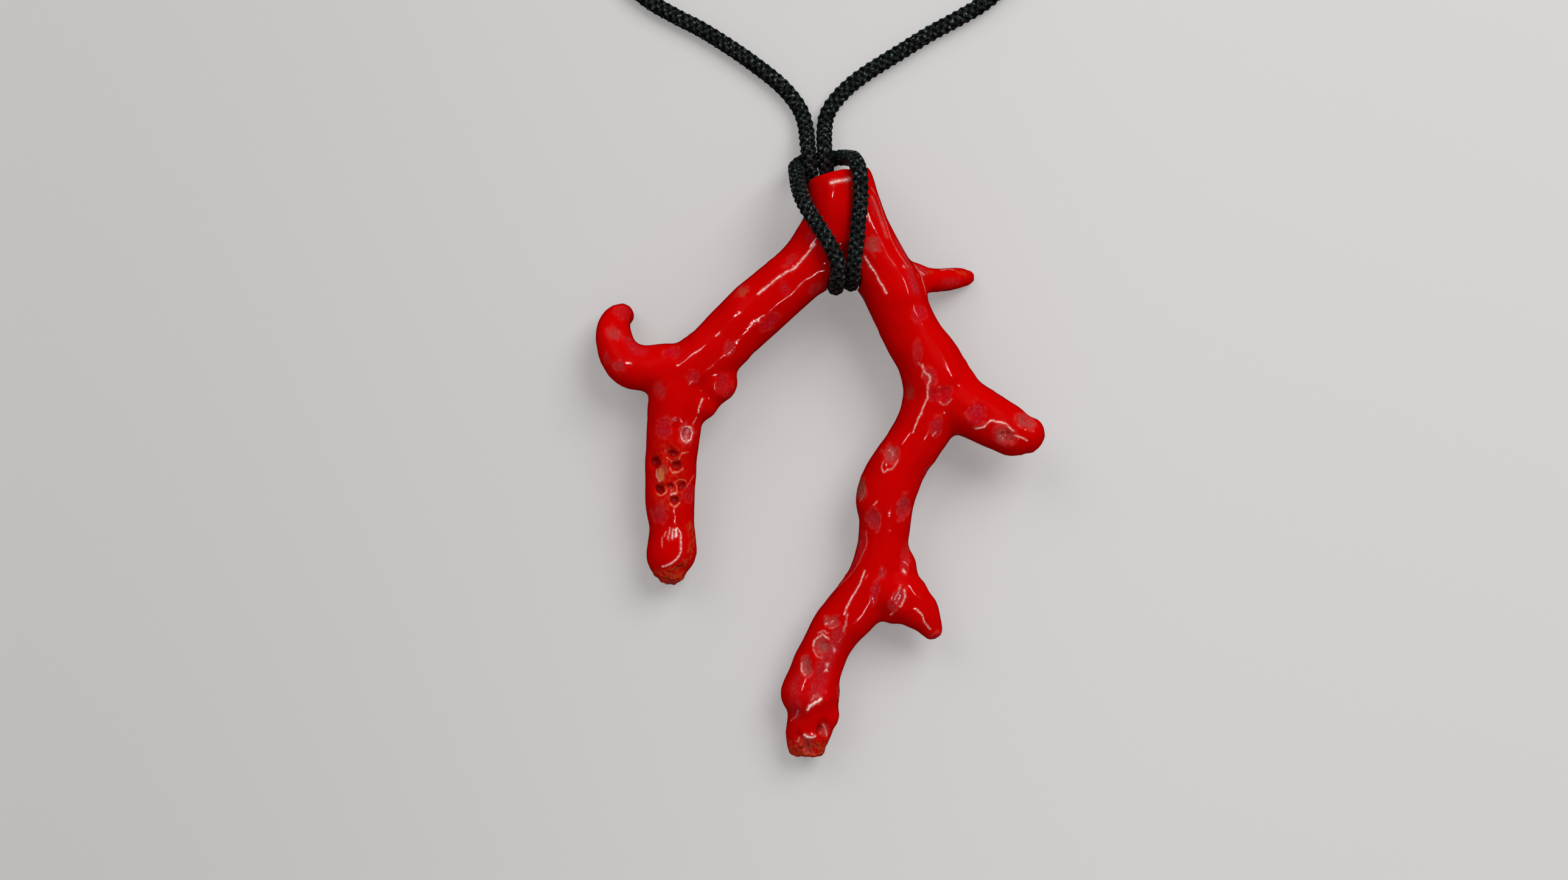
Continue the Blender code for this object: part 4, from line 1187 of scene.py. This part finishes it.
braid = Finish("black braided cord")
counts = braid.node("ShaderNodeUVMap", {"uv_map": "strands"}).outputs["UV"]
parts = braid.node("ShaderNodeSeparateXYZ", None, Vector=counts)
across_a = braid.plus(parts.outputs["X"], parts.outputs["Y"])
across_b = braid.plus(parts.outputs["X"], braid.times(parts.outputs["Y"], -1.0))
on_top = braid.ramp(braid.mark("family"), -FAMILY_BLUR, FAMILY_BLUR)
strand = braid.node("ShaderNodeMix", {"data_type": "FLOAT"}, Factor=on_top, A=across_b, B=across_a)
threads = braid.calculate("SINE", braid.times(strand.outputs["Result"], math.tau * THREADS))
fuzz = braid.noise(0.12)
relief = braid.plus(braid.times(threads, THREAD_HEIGHT), fuzz)
raised = braid.ramp(braid.mark("height"), 0.84, 1.0)
nylon_and_glints = braid.blend(braid.ramp(braid.noise(0.5), 0.4, 0.7), BLACK, WORN_BLACK)
# Small grey flecks are painted glints, where light would catch the threads.
nylon_and_glints = braid.blend(braid.ramp(braid.noise(0.28, 1.0), 0.58, 0.7), nylon_and_glints, PAINTED_GLINT_GREY)
# Where the skin sinks between strands, the colour goes to near black: painted shade in the grooves.
braid.set(
    Base_Color=braid.blend(raised, GROOVE_SHADE_BLACK, nylon_and_glints),
    Roughness=braid.plus(braid.ramp(raised, 0.0, 1.0, 0.4, 0.0), braid.ramp(fuzz, 0.3, 0.7, 0.18, 0.36)),
    Normal=braid.bump(relief, BRAID_RELIEF),
)
braid.put_on(cord_knot, necklace_cord)
print("braided")

# %% [markdown]
# ### Floor
#
# The floor is plain, pale and matt, and shines a little by itself, as a light table does, so the shadows on
# it stay faint. It shines less towards the left, where the photograph is darker.

# %% floor finish
FLOOR_GREY = (0.30, 0.292, 0.291, 1.0)
GLOW_COLOUR = (1.0, 0.965, 0.96, 1.0)
LEFT_GLOW, RIGHT_GLOW = (-0.1, 0.155), (0.05, 0.245)

pale = Finish("pale floor")
sideways = pale.node("ShaderNodeSeparateXYZ", None, Vector=pale.place()).outputs["X"]
glow = pale.ramp(sideways, LEFT_GLOW[0], RIGHT_GLOW[0], LEFT_GLOW[1], RIGHT_GLOW[1])
pale.set(Base_Color=FLOOR_GREY, Roughness=0.8, Specular_IOR_Level=0.2)
pale.set(Emission_Color=GLOW_COLOUR, Emission_Strength=glow)
pale.put_on(floor)
print("floor done")
